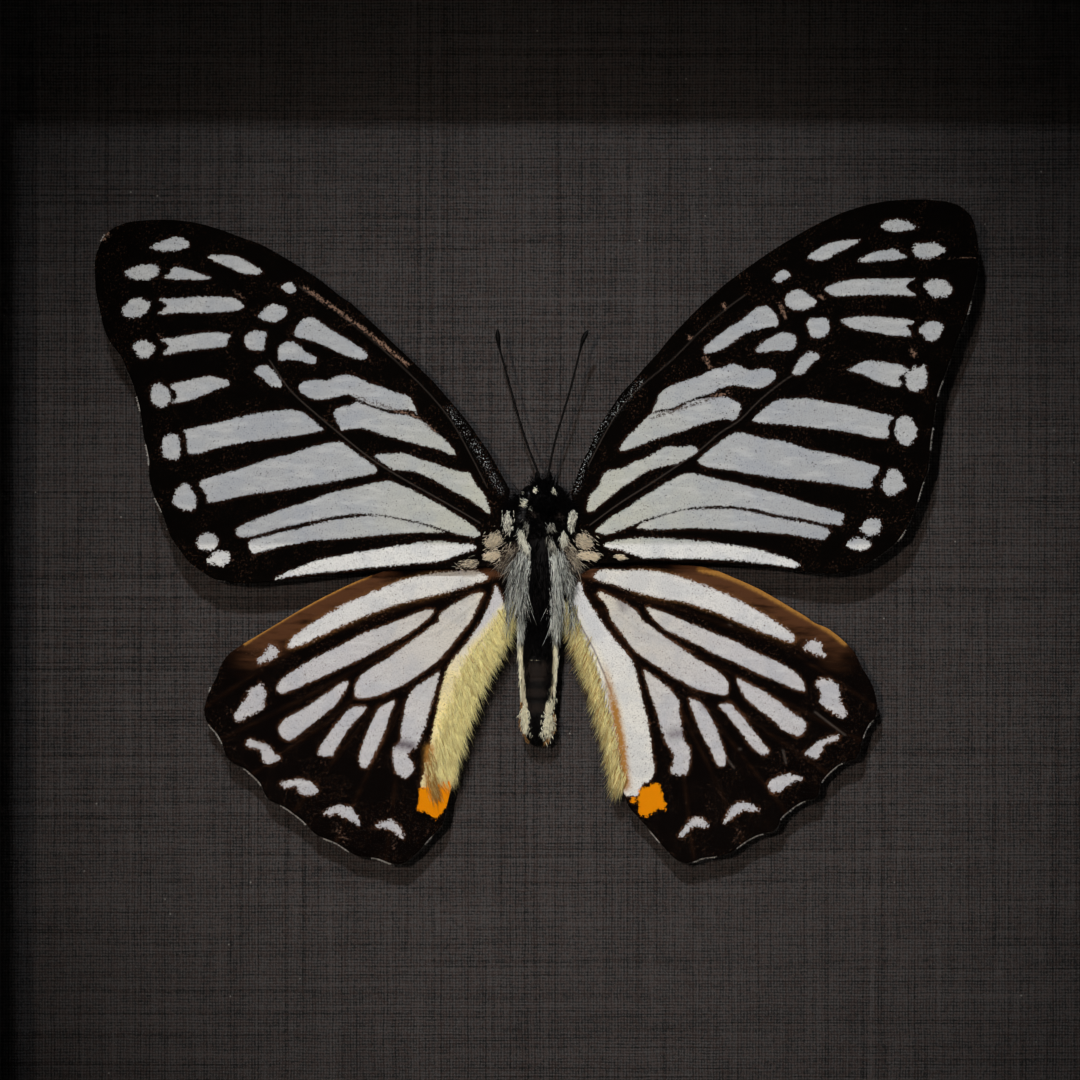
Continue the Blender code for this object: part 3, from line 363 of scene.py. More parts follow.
LEFT_HINDWING = {
    "edge": [
        (-4.5, -3), (-5, -2.8), (-7, -2.7), (-9, -2.6), (-12, -2.7), (-15, -3), (-17, -3.6), (-18.5, -4.2),
        (-20, -4.9), (-22, -5.9), (-24, -7), (-26, -8.2), (-28, -9.4), (-30, -10.6), (-31.2, -11.5),
        (-32, -12.7), (-32.3, -13.6), (-32.9, -14.8), (-33.3, -15.8), (-33.6, -17), (-33.4, -18),
        (-32.9, -18.7), (-32.3, -19.4), (-31.8, -20.3), (-31.5, -21.3), (-31.1, -22), (-30.3, -22.5),
        (-29.5, -22.9), (-28.8, -23.5), (-28, -24.3), (-27.6, -25.2), (-27.2, -25.9), (-26.5, -26.3),
        (-25.6, -26.7), (-24.6, -27.4), (-23.6, -28.2), (-22.9, -29), (-22.3, -29.5), (-21.4, -29.9),
        (-20.4, -30.3), (-19.4, -30.95), (-18.5, -31.5), (-17.6, -31.7), (-16.5, -31.8), (-15.8, -32),
        (-15.1, -32.3), (-14.3, -32.4), (-13.6, -32.3), (-12.9, -31.8), (-12, -31), (-11.2, -30),
        (-10.4, -29.2), (-9.8, -28.6), (-9.5, -27.6), (-9.3, -26.5), (-9, -25.3), (-8.7, -24),
        (-8.3, -22.5), (-8, -21), (-7.6, -19.5), (-7.2, -18), (-6.7, -16.5), (-6.2, -15), (-5.6, -13.5),
        (-5, -12), (-4.4, -10.5), (-3.9, -9), (-3.6, -7.5), (-3.4, -6), (-3.3, -4.5), (-3.6, -3.5),
    ],
    "patches": [
        (0.2, [
            (-5.5, -3.5), (-6.3, -3.1), (-7.2, -3.05), (-8.5, -3.15), (-10, -3.25), (-11.5, -3.45),
            (-13, -3.8), (-14.5, -4.3), (-16, -4.9), (-17.5, -5.5), (-19, -6.2), (-20.5, -7), (-22, -7.8),
            (-23.2, -8.6), (-24.3, -9.4), (-25, -10.1), (-25.2, -10.7), (-24.6, -10.7), (-23.4, -10.3),
            (-22, -9.6), (-20.5, -8.9), (-19, -8.2), (-17.5, -7.6), (-16, -7), (-14.5, -6.5), (-13, -6.1),
            (-11.5, -5.75), (-10, -5.4), (-8.5, -4.95), (-7, -4.5), (-5.7, -4.1), (-5.2, -3.8),
        ]),
        (0.06, [
            (-10.65, -7), (-11.5, -7.05), (-12.8, -7.5), (-14.2, -8.1), (-15.6, -8.6), (-17, -9.1),
            (-18.5, -9.8), (-20, -10.6), (-21.5, -11.3), (-23, -12.1), (-24.3, -12.9), (-25.3, -13.5),
            (-26, -14.2), (-26.3, -14.9), (-26, -15.3), (-25.4, -15.2), (-24.3, -14.8), (-22.8, -14.1),
            (-21.2, -13.4), (-19.5, -12.6), (-18, -11.9), (-16.5, -11.1), (-15, -10.3), (-13.6, -9.6),
            (-12.4, -8.8), (-11.4, -8), (-10.8, -7.4),
        ]),
        (0.06, [
            (-5.7, -5.3), (-6.4, -5.35), (-7.2, -5.7), (-8.2, -6.2), (-9.2, -6.8), (-10, -7.5),
            (-10.1, -8.1), (-10.8, -8.6), (-12, -9.5), (-13.5, -10.6), (-15, -11.7), (-16.5, -12.6),
            (-17.6, -13.3), (-18.2, -14), (-18.5, -14.8), (-18.4, -15.7), (-17.5, -15.8), (-16.5, -15.6),
            (-15.2, -15.1), (-14, -14.6), (-12.8, -13.9), (-11.8, -13.2), (-10.8, -12.5), (-10, -11.8),
            (-9.2, -10.9), (-8.5, -10), (-7.8, -9.1), (-7.1, -8.3), (-6.6, -7.4), (-6.2, -6.5), (-6, -6),
        ]),
        (0.06, [
            (-19.2, -14.2), (-19.8, -14.3), (-20.7, -14.9), (-22, -15.8), (-23.5, -16.8), (-25, -17.6),
            (-25.8, -18.2), (-26.1, -18.9), (-25.9, -19.6), (-25.3, -20), (-24.7, -19.9), (-23.8, -19.2),
            (-22.8, -18.4), (-21.8, -17.6), (-20.9, -16.9), (-20.3, -16.3), (-19.9, -15.6), (-19.4, -14.9),
        ]),
        (0.06, [
            (-17.4, -16.75), (-18.2, -16.65), (-18.9, -16.8), (-19.5, -17.4), (-20.3, -18.3),
            (-21.1, -19.4), (-21.8, -20.4), (-22.2, -21.3), (-21.8, -21.6), (-20.9, -21.6), (-20.6, -21.2),
            (-20, -20.2), (-19.3, -19.1), (-18.6, -18.2), (-17.9, -17.5),
        ]),
        (0.06, [
            (-14.5, -16.1), (-15.2, -16.3), (-16.1, -16.9), (-16.6, -17.8), (-17.1, -18.8), (-17.5, -19.8),
            (-17.9, -21), (-18.1, -22), (-17.8, -22.7), (-17.3, -22.7), (-16.9, -22), (-16.4, -21),
            (-15.9, -20), (-15.5, -19), (-15.2, -18), (-14.9, -17.1),
        ]),
        (0.14, [
            (-10.1, -13.2), (-10.7, -13.6), (-11.7, -14.2), (-12.6, -14.9), (-13.1, -15.6), (-13.4, -16.4),
            (-13.6, -17.4), (-13.8, -18.4), (-13.9, -19.4), (-14, -20.2), (-14.6, -20.7), (-14.7, -21.6),
            (-14.6, -22.6), (-14.3, -23.3), (-13.5, -23.8), (-12.9, -23.4), (-12.6, -22.8), (-12.9, -22.1),
            (-13.3, -21.5), (-12.8, -21), (-12.3, -20.6), (-11.9, -19.6), (-11.5, -18.6), (-11.2, -17.5),
            (-10.9, -16.4), (-10.6, -15.3), (-10.3, -14.3),
        ]),
        (0.3, [
            (-28, -12.4), (-28.2, -12), (-27.7, -11.5), (-27.2, -10.8), (-26.7, -10.6), (-26.3, -10.9),
            (-26.2, -11.4), (-26.7, -11.8), (-27.4, -12.1),
        ]),
        (0.24, [
            (-30.6, -17.6), (-30.2, -17), (-29.8, -16.3), (-29.3, -15.7), (-29.2, -15.2), (-28.5, -14.7),
            (-28, -14.3), (-27.6, -14.8), (-27.4, -15.4), (-27.6, -16), (-27.7, -16.8), (-28.3, -17.2),
            (-29.3, -17.7), (-30.1, -18.1),
        ]),
        (0.16, [
            (-29.4, -20.3), (-28.9, -19.9), (-28.4, -20.2), (-27.6, -20.35), (-27, -20.7), (-26.6, -21.3),
            (-26, -21.7), (-26.3, -22.1), (-27.1, -22.4), (-27.7, -22), (-27.9, -21.2), (-28.4, -20.8),
            (-29.1, -20.7),
        ]),
        (0.2, [
            (-25.9, -24.3), (-25.2, -24.1), (-24.4, -23.95), (-23.6, -24), (-22.9, -24.2), (-22.3, -24.7),
            (-22.1, -25), (-22.6, -25.4), (-23.4, -25.5), (-24.1, -25.2), (-24.3, -24.6), (-25, -24.7),
            (-25.5, -24.8),
        ]),
        (0.26, [
            (-21.6, -27.3), (-21, -26.9), (-20.3, -26.6), (-19.6, -26.6), (-18.9, -26.8), (-18.5, -27.3),
            (-18.2, -27.8), (-18.1, -28.5), (-18.8, -28.1), (-19.6, -27.7), (-20.3, -27.4), (-21, -27.5),
        ]),
        (0.26, [
            (-16.4, -28.7), (-16.1, -28.3), (-15.5, -28.1), (-14.9, -28), (-14.3, -28.4), (-13.9, -29),
            (-13.6, -29.7), (-14, -29.7), (-14.6, -29.2), (-15.2, -28.8), (-15.9, -28.7),
        ]),
    ],
}
RIGHT_HINDWING = {
    "edge": [
        (4.5, -3.2), (5.2, -2.9), (6.5, -2.7), (8, -2.6), (10, -2.5), (12, -2.45), (14, -2.5), (16, -2.65),
        (17.5, -3), (19, -3.6), (20.5, -4.25), (22, -4.95), (23.5, -5.8), (25, -6.7), (26.5, -7.6),
        (27.5, -8.3), (28.7, -8.8), (29.7, -9.5), (30.7, -10.4), (31.5, -11.3), (31.9, -12.1),
        (32.2, -12.8), (32.8, -13.7), (33.3, -14.7), (33.6, -15.8), (33.7, -16.9), (33.5, -17.8),
        (33, -18.3), (32.6, -19), (32.2, -20), (32, -21), (31.6, -21.8), (30.8, -22.1), (30, -22.4),
        (29.2, -23), (28.5, -23.7), (28, -24.5), (27.9, -25.2), (27.5, -25.8), (26.8, -26), (26, -26.3),
        (25, -27), (24.1, -27.8), (23.8, -28.6), (23.4, -29.1), (22.6, -29.3), (21.8, -29.5), (20.8, -30),
        (19.9, -30.6), (19.2, -31.2), (18.3, -31.5), (17.2, -31.7), (16.3, -31.8), (15.5, -32.1),
        (14.6, -32.3), (13.8, -32.1), (13, -31.4), (12.2, -30.5), (11.4, -29.5), (10.7, -28.6),
        (10, -27.8), (9.3, -27.2), (8.8, -26.5), (8.4, -25.3), (8, -24), (7.7, -22.5), (7.4, -21),
        (7.1, -19.5), (6.8, -18), (6.4, -16.5), (6, -15), (5.5, -13.5), (4.9, -12), (4.3, -10.5),
        (3.8, -9), (3.4, -7.5), (3.1, -6), (3.1, -4.5), (3.7, -3.6),
    ],
    "patches": [
        (0.2, [
            (5.4, -3.7), (5.9, -3.1), (6.7, -2.95), (7.8, -3), (9, -3), (10.3, -3), (11.5, -3.1),
            (12.8, -3.35), (14.2, -3.75), (15.5, -4.2), (17, -4.75), (18.3, -5.3), (19.5, -5.8),
            (20.8, -6.5), (22, -7.2), (23.2, -7.9), (24.2, -8.6), (25.1, -9.3), (25.5, -9.9),
            (25.1, -10.2), (24.2, -9.95), (23, -9.5), (21.7, -9), (20.3, -8.4), (19, -7.8), (17.5, -7.2),
            (16, -6.7), (14.5, -6.2), (13, -5.95), (11.5, -5.7), (10, -5.3), (8.5, -4.85), (7.2, -4.4),
            (6, -4.1),
        ]),
        (0.06, [
            (10.7, -6.75), (11.4, -6.95), (12.5, -7.3), (13.8, -7.85), (15, -8.35), (16, -8.75),
            (17.3, -9.3), (18.6, -9.8), (20, -10.4), (21.3, -11.1), (22.6, -11.7), (24, -12.3),
            (25.1, -13), (25.9, -13.6), (26.4, -14.4), (26.5, -15), (25.8, -15), (24.8, -14.6),
            (23.5, -14), (22, -13.4), (20.5, -12.7), (19, -12), (17.5, -11.4), (16, -10.6), (14.8, -10),
            (13.5, -9.4), (12.5, -8.9), (11.6, -8.1), (11, -7.4),
        ]),
        (0.06, [
            (5.8, -5.5), (6.1, -5.2), (7, -5.6), (8, -6.1), (8.9, -6.6), (9.7, -7.2), (10.2, -8),
            (11, -8.6), (12.2, -9.5), (13.5, -10.4), (14.8, -11.3), (16, -12.1), (17.2, -12.8),
            (18.2, -13.5), (18.8, -14.3), (18.7, -15.4), (17.8, -15.4), (16.5, -15.1), (15.3, -14.7),
            (14.2, -14.1), (13.2, -13.6), (12.2, -12.9), (11.2, -12.3), (10.2, -11.6), (9.4, -10.9),
            (8.7, -10), (8, -9.1), (7.2, -8), (6.9, -7.1), (6.5, -6.3),
        ]),
        (0.06, [
            (19.7, -13.8), (20.3, -14.1), (21.5, -14.7), (22.6, -15.3), (23.6, -16), (24.5, -16.7),
            (25.4, -17.4), (26.2, -17.9), (26.6, -18.5), (26.4, -19.2), (25.8, -19.6), (25.2, -19.4),
            (24.2, -18.9), (23.4, -18.1), (22.5, -17.4), (21.6, -16.7), (20.8, -16), (20.2, -15.2),
            (19.9, -14.5),
        ]),
        (0.06, [
            (17.9, -16.6), (18.5, -16.4), (19.1, -16.4), (19.6, -17), (20.3, -17.7), (20.9, -18.5),
            (21.6, -19.4), (22.2, -20.2), (22.8, -20.8), (22.8, -21.3), (22.4, -21.5), (21.7, -21.1),
            (21, -20.5), (20.4, -19.6), (19.8, -18.8), (19.1, -18), (18.6, -17.3),
        ]),
        (0.06, [
            (14.9, -15.9), (15.4, -16), (16.1, -16.3), (16.6, -17), (17.2, -18), (17.7, -19), (18, -20),
            (18.4, -21), (18.6, -22), (18.5, -22.5), (17.9, -22.6), (17.5, -22), (17.1, -21),
            (16.6, -20.2), (16.1, -19.2), (15.7, -18.2), (15.3, -17.2),
        ]),
        (0.14, [
            (10.4, -13), (11, -13.4), (12, -14.1), (12.9, -14.9), (13.5, -15.6), (13.9, -16.3),
            (13.9, -17.2), (14.1, -18.2), (14.2, -19.2), (14.4, -20.1), (14.9, -20.8), (15, -21.8),
            (14.9, -22.8), (14.6, -23.4), (13.8, -23.5), (13.1, -23.1), (13.3, -22.3), (13.4, -21.5),
            (13, -20.8), (12.6, -20.2), (12.3, -19.3), (12, -18.3), (11.7, -17.2), (11.3, -16.1),
            (10.9, -15), (10.6, -14),
        ]),
        (0.3, [
            (26.5, -11), (26.5, -10.5), (27, -10.1), (27.7, -10.1), (28.1, -10.5), (28.3, -11.1),
            (28.5, -11.7), (27.8, -11.5), (27.1, -11.2),
        ]),
        (0.24, [
            (27.6, -14.3), (28.1, -13.9), (28.8, -13.95), (29.5, -14.3), (30, -14.8), (29.9, -15.5),
            (30.1, -16.2), (30.5, -16.9), (30.6, -17.5), (30.2, -17.8), (29.5, -17.4), (28.7, -16.8),
            (28, -16.3), (28.1, -15.5), (27.9, -14.9),
        ]),
        (0.16, [
            (26.5, -21.3), (27.1, -20.8), (27.7, -20.2), (28.4, -19.9), (29.2, -19.6), (29.8, -19.5),
            (29.8, -19.9), (29, -20.2), (28.4, -20.5), (28.2, -21.2), (27.8, -21.7), (27.3, -21.8),
        ]),
        (0.2, [
            (22.8, -24.5), (23.1, -24), (23.7, -23.7), (24.4, -23.5), (25.2, -23.45), (25.8, -23.6),
            (26.2, -23.9), (25.6, -24.1), (25, -24.4), (24.5, -24.8), (23.9, -25.2), (23.2, -25.1),
        ]),
        (0.26, [
            (18.4, -28.3), (18.7, -27.5), (19.1, -26.8), (19.8, -26.3), (20.5, -26.2), (21.1, -26.4),
            (21.6, -26.7), (21.9, -27), (21.2, -27.1), (20.5, -27), (19.9, -27.3), (19.3, -27.7),
            (18.8, -28.1),
        ]),
        (0.26, [
            (13.9, -29.7), (14.2, -29.1), (14.8, -28.3), (15.4, -27.8), (16.1, -27.8), (16.6, -28.2),
            (16.8, -28.6), (16.2, -28.7), (15.5, -28.6), (14.9, -29), (14.4, -29.6),
        ]),
    ],
}

# ---------------------------------------------------------------- materials


def paint(red, green, blue):
    """A colour from the usual 0 to 255 values, as light."""
    return tuple(
        v / 12.92 if v <= 0.04045 else ((v + 0.055) / 1.055) ** 2.4
        for v in (red / 255, green / 255, blue / 255)
    ) + (1.0,)


class Value:
    """A shader value or colour: + - * / on values add Math nodes."""

    def __init__(self, finish, socket):
        self.finish, self.socket = finish, socket

    def maths(self, operation, *others):
        """A Math node on this value and the others."""
        inputs = dict(enumerate((self,) + others))
        return self.finish.node("ShaderNodeMath", {"operation": operation}, inputs)

    def __add__(self, other):
        return self.maths("ADD", other)

    __radd__ = __add__

    def __mul__(self, other):
        return self.maths("MULTIPLY", other)

    __rmul__ = __mul__

    def __sub__(self, other):
        return self.maths("SUBTRACT", other)

    def __rsub__(self, other):
        return self.finish.node(
            "ShaderNodeMath", {"operation": "SUBTRACT"}, {0: other, 1: self}
        )

    def __truediv__(self, other):
        return self.maths("DIVIDE", other)

    def step(self, low, high):
        """0 below low, 1 above high, and smooth between."""
        return self.finish.node(
            "ShaderNodeMapRange",
            {"interpolation_type": "SMOOTHSTEP"},
            {"Value": self, "From Min": low, "From Max": high},
        )


class Finish:
    """A node material."""

    def __init__(self, name):
        self.material = bpy.data.materials.new(name)
        self.material.use_nodes = True
        self.tree = self.material.node_tree
        self.tree.nodes.clear()

    def node(self, kind, settings, inputs, output=0):
        """Adds a node: its settings first, then the values or links of its sockets."""
        made = self.tree.nodes.new(kind)
        for key, value in settings.items():
            setattr(made, key, value)
        for key, value in inputs.items():
            if isinstance(value, Value):
                self.tree.links.new(value.socket, made.inputs[key])
            else:
                made.inputs[key].default_value = value
        return Value(self, made.outputs[output]) if made.outputs else None

    def place(self, scale=(1, 1, 1), turn=(0, 0, 0)):
        """Object coordinates, turned and scaled."""
        where = self.node("ShaderNodeTexCoord", {}, {}, "Object")
        return self.node(
            "ShaderNodeMapping",
            {"vector_type": "POINT"},
            {"Vector": where, "Rotation": turn, "Scale": scale},
        )

    def axis(self, vector, letter):
        """One of the vector's three values."""
        return self.node("ShaderNodeSeparateXYZ", {}, {0: vector}, "XYZ".index(letter))

    def cloud(self, vector, scale, detail=2.0, rough=0.5):
        """Soft noise from 0 to 1, scale lumps to the metre."""
        return self.node(
            "ShaderNodeTexNoise",
            {},
            {"Vector": vector, "Scale": scale, "Detail": detail, "Roughness": rough},
        )

    def attribute(self, name):
        """A value that the piece's own points carry."""
        return self.node("ShaderNodeAttribute", {"attribute_name": name}, {}, "Fac")

    def tint(self, factor, first, second):
        """The first colour where the factor is 0, and the second where it is 1."""
        inputs = {0: factor, 6: first, 7: second}
        return self.node("ShaderNodeMix", {"data_type": "RGBA"}, inputs, 2)

    def bump(self, height, depth, strength):
        """A bump for the Normal socket, depth metres deep."""
        inputs = {"Height": height, "Distance": depth, "Strength": strength}
        return self.node("ShaderNodeBump", {}, inputs)

    def shader(self, **inputs):
        """A Principled shader, its sockets' spaces written as underscores."""
        named = {key.replace("_", " "): value for key, value in inputs.items()}
        return self.node("ShaderNodeBsdfPrincipled", {}, named)

    def shown(self, surface):
        """The material, with this shader as its surface."""
        self.node("ShaderNodeOutputMaterial", {}, {"Surface": surface})
        return self.material


def wing_finish(name, side, pale, pale_warm, dark, dark_warm):
    """Scales in two colours, with the edges of the markings broken scale by scale."""
    f = Finish(name)
    where = f.place()
    fine = f.cloud(where, 4300, 2.0, 0.7)
    scales = f.cloud(where, 7600, 1.0)
    broad = f.cloud(where, 420, 3.0)
    edge = f.attribute("marking") + (fine - 0.5) * (f.attribute("ragged") * 3.6 + 0.24)
    edge = edge + (scales - 0.5) * 0.5
    mask = edge.step(-0.05, 0.05)
    light = f.tint(f.attribute("warm"), pale, pale_warm)
    # whiter scales where the bright layer says; towards the forewing tips this whitening is painted light
    light = f.tint(f.attribute("bright"), light, paint(240, 239, 236))
    light = f.tint((scales - 0.5).step(-0.12, 0.2) * 0.3, light, paint(128, 128, 130))
    light = f.tint((broad - 0.42).step(0, 0.22) * 0.22, light, paint(150, 160, 178))
    streak = f.cloud(f.place(scale=(0.25, 1, 1), turn=(0, -0.35, 0)), 1500, 2.0)
    light = f.tint((streak - 0.5).step(0, 0.2) * 0.2, light, paint(236, 236, 232))
    lost = (scales * 0.55 + fine * 0.45).step(0.61, 0.66)
    light = f.tint(lost * 0.7, light, dark_warm)
    worn = f.attribute("worn")
    rubbed = (fine * 0.7 + scales * 0.3 + worn * 0.22).step(0.60, 0.72) * worn
    light = f.tint(rubbed, light, paint(58, 38, 28))
    # dusky scales where the layer says, and along each hindwing's fold beside the yellow hair a painted
    # shade line
    light = f.tint(f.attribute("dusk_and_fold_shade") * (fine * 0.8 + 0.5), light, paint(98, 88, 96))
    grain = f.cloud(f.place(scale=(0.2, 1, 1), turn=(0, 0.5 * side, 0)), 1900, 2.0)
    shore = edge.step(-0.42, -0.02) * 0.5
    rust = ((f.attribute("brown") + shore) * (grain * 2.6 - 0.3)).step(0, 1)
    ground = f.tint(rust, dark, dark_warm)
    flecks = (scales * 0.5 + fine * 0.5).step(0.56, 0.66) * (broad - 0.44).step(0, 0.15)
    ground = f.tint(flecks * 0.5, ground, paint(92, 66, 52))
    ground = f.tint(rubbed, ground, paint(150, 118, 100))
    glints = f.cloud(where, 9500, 0.0)
    silver = f.attribute("silver") * glints.step(0.64, 0.72)
    ground = f.tint(silver * 0.8, ground, paint(190, 194, 196))
    colour = f.tint(mask, ground, light)
    gold = (f.attribute("gold") * (fine * 1.6 + 0.2)).step(0, 1)
    colour = f.tint(gold, colour, paint(168, 118, 56))
    spot = (f.attribute("spot") + (fine - 0.5) * 0.9 + (scales - 0.5) * 0.5).step(-0.06, 0.06)
    colour = f.tint(spot, colour, paint(232, 138, 4))
    # a paler line on the dark ground: along the forewing veins it is a painted highlight on the raised vein,
    # on the hindwings it is small flecks
    vein_highlight_and_fleck = f.attribute("vein_highlight_and_fleck") * (1 - mask)
    colour = f.tint(vein_highlight_and_fleck * 0.55, colour, paint(92, 82, 76))
    return f.shown(f.shader(
        Base_Color=colour,
        Roughness=0.76 + mask * 0.1 - vein_highlight_and_fleck * 0.2,
        Normal=f.bump(scales, 0.000009, 0.8),
        Specular_IOR_Level=0.02,
    ))


def underside_finish():
    """Dull bars of scales."""
    f = Finish("wing_underside")
    where = f.place()
    along = f.cloud(f.place(scale=(0.3, 1, 1), turn=(0, 0.5, 0)), 500, 3.0)
    fine = f.cloud(where, 6000, 1.0)
    bars = (along - 0.5).step(-0.02, 0.03)
    colour = f.tint(bars, paint(70, 52, 40), paint(196, 188, 170))
    colour = f.tint(fine * 0.3, colour, paint(40, 30, 24))
    return f.shown(f.shader(
        Base_Color=colour,
        Roughness=0.7 + fine * 0.15,
        Normal=f.bump(fine, 0.00001, 0.5),
        Specular_IOR_Level=0.3,
    ))


def hair_finish(name, dark, light, gloss=0.35):
    """Tone runs from dark to light, strand by strand."""
    f = Finish(name)
    fine = f.cloud(f.place(), 3000, 1.0)
    tone = f.attribute("tone") + (fine - 0.5) * 0.25
    colour = f.tint(tone.step(0, 1), dark, light)
    return f.shown(f.shader(
        Base_Color=colour, Roughness=0.55 + fine * 0.2, Specular_IOR_Level=gloss
    ))


def card_finish():
    """Black card with a linen weave pressed into it."""
    f = Finish("linen_card")
    where = f.place()
    pitch = 0.00030
    across, up = f.axis(where, "X"), f.axis(where, "Z")
    drift = f.cloud(where, 260, 1.0) * 0.9
    warp = ((across / pitch + drift) * math.tau).maths("SINE") * 0.5 + 0.5
    weft = ((up / pitch + drift) * math.tau).maths("SINE") * 0.5 + 0.5
    slubs = f.cloud(f.place(scale=(1, 1, 0.05)), 3300, 1.0, 0.6)
    slubs = slubs + f.cloud(f.place(scale=(0.05, 1, 1)), 3300, 1.0, 0.6) - 1.0
    ridge = warp * weft * 0.5 + (warp + weft) * 0.3 + slubs * 0.6
    for stretch, deep in (((1, 1, 0.004), 0.20), ((0.004, 1, 1), 0.20)):
        thread = f.cloud(f.place(scale=stretch), 5200, 0.0)
        ridge = ridge + thread.step(0.66, 0.72) * deep - (1 - thread.step(0.28, 0.34)) * deep * 1.4
    fine = f.cloud(where, 5200, 1.0)
    patchy = f.cloud(where, 240, 1.0) - 0.5
    lit = (ridge + (fine - 0.5) * 1.3 + patchy * 0.2).step(-0.35, 1.25)
    colour = f.tint(lit, paint(13, 11, 11), paint(76, 72, 71))
    colour = f.tint(f.cloud(where, 2600, 0.0).step(0.45, 0.6) * 0.25, colour, paint(70, 52, 46))
    dust = f.node(
        "ShaderNodeTexVoronoi", {"feature": "F1"}, {"Vector": where, "Scale": 330.0}, "Distance"
    )
    mote = 1.0 - dust.step(0.012, 0.045)
    colour = f.tint(mote * 0.45, colour, paint(170, 166, 160))
    return f.shown(f.shader(
        Base_Color=colour,
        Roughness=0.78 + fine * 0.14,
        Normal=f.bump(ridge, 0.00006, 0.75),
        Specular_IOR_Level=0.28,
    ))


def plain_finish(name, colour, second, scale, rough, depth=0.00002, stretch=(1, 1, 1), **fixed):
    """A painted, cast or rolled surface with slight mottling."""
    f = Finish(name)
    grain = f.cloud(f.place(scale=stretch), scale, 4.0, 0.6)
    speck = f.cloud(f.place(), scale * 7, 2.0)
    mixed = f.tint((grain * 0.8 + speck * 0.2).step(0.35, 0.7), colour, second)
    return f.shown(f.shader(
        Base_Color=mixed,
        Roughness=rough - 0.08 + grain * 0.16,
        Normal=f.bump(grain + speck * 0.3, depth, 0.6),
        **fixed,
    ))


def glass_finish():
    """Clear picture glass: it passes light straight through and keeps its surface gloss."""
    f = Finish("glazing")
    edge = f.node("ShaderNodeFresnel", {}, {"IOR": 1.45})
    clear = f.node("ShaderNodeBsdfTransparent", {}, {"Color": (0.985, 0.992, 0.988, 1)})
    gloss = f.shader(Base_Color=(0, 0, 0, 1), Roughness=0.0, IOR=1.5, Specular_IOR_Level=0.5)
    return f.shown(f.node("ShaderNodeMixShader", {}, {0: edge * 0.8, 1: clear, 2: gloss}))


# ---------------------------------------------------------------- setting out

WITHIN_REACH = 1.5  # how far from a loop's edge the distance is worked out, in mm


def rounded(points, closed=True, parts=4):
    """A smooth line through the points."""
    p = np.array(points, float)
    if closed:
        before, after, last = np.roll(p, 1, 0), np.roll(p, -1, 0), np.roll(p, -2, 0)
    else:
        q = np.vstack([2 * p[0] - p[1], p, 2 * p[-1] - p[-2]])
        before, after, last, p = q[:-3], q[2:-1], q[3:], q[1:-2]
    out = []
    for k in range(parts):
        t = k / parts
        out.append(
            0.5
            * (
                2 * p
                + (after - before) * t
                + (2 * before - 5 * p + 4 * after - last) * t * t
                + (3 * p - before - 3 * after + last) * t**3
            )
        )
    line = np.stack(out, 1).reshape(-1, p.shape[1])
    return line if closed else np.vstack([line, after[-1:]])


def to_line(places, line, closed=False):
    """The distance from each place to the line."""
    line = np.asarray(line, float)
    ends = np.roll(line, -1, 0) if closed else line[1:]
    starts = line if closed else line[:-1]
    best = np.full(len(places), 1e9)
    for a, b in zip(starts, ends):
        ab = b - a
        t = np.clip(((places - a) @ ab) / max(ab @ ab, 1e-12), 0, 1)
        best = np.minimum(best, np.hypot(*(places - a - t[:, None] * ab).T))
    return best


def inside(places, loop, reach=WITHIN_REACH):
    """The distance inside the loop, less than zero outside it, and never past reach."""
    out = np.full(len(places), -reach)
    low, high = loop.min(0) - reach, loop.max(0) + reach
    near = np.flatnonzero(((places > low) & (places < high)).all(1))
    if not len(near):
        return out
    p = places[near]
    x, z = p[:, 0], p[:, 1]
    within = np.zeros(len(p), bool)
    for (ax, az), (bx, bz) in zip(loop, np.roll(loop, -1, 0)):
        if az != bz:
            crosses = (az > z) != (bz > z)
            within ^= crosses & (x < (bx - ax) * (z - az) / (bz - az) + ax)
    away = np.minimum(to_line(p, loop, True), reach)
    out[near] = np.where(within, away, -away)
    return out


def spaced(line, shares):
    """Points on the line at these shares of its length."""
    line = np.asarray(line, float)
    run = np.concatenate([[0], np.cumsum(np.hypot(*np.diff(line, axis=0).T))])
    run /= run[-1]
    return np.stack([np.interp(shares, run, line[:, k]) for k in (0, 1)], 1)


def bell(distance, width):
    """1 on the line, falling to nothing a few widths away."""
    return np.exp(-((distance / width) ** 2))


def world(flat, lift):
    """Places on the specimen, with their height off the card, as the object's own metres."""
    lift = np.broadcast_to(lift, len(flat)).astype(float)
    near = 1 - lift / EYE
    return np.stack(
        [
            MIDDLE[0] + flat[:, 0] * near * MM,
            CARD - lift * MM,
            MIDDLE[1] + flat[:, 1] * near * MM,
        ],
        1,
    )


def finished(name, mesh, node, slot, *materials):
    """Puts the mesh in the scene as a piece of the object."""
    piece = bpy.data.objects.new(name + "_made" if node else name, mesh)
    bpy.context.scene.collection.objects.link(piece)
    for material in materials:
        mesh.materials.append(material)
    mesh.polygons.foreach_set("use_smooth", [True] * len(mesh.polygons))
    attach(piece, "root")
    if node:
        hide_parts(node)


def write(mesh, **layers):
    """Gives each point of the mesh its values, which the finishes read."""
    for key, values in layers.items():
        layer = mesh.attributes.new(key, "FLOAT", "POINT")
        layer.data.foreach_set("value", np.asarray(values, np.float32))


# ---------------------------------------------------------------- wings


WING_RAISE = 0.12  # the scaled face's height over the wing's middle, in mm
WING_THICK = 0.24


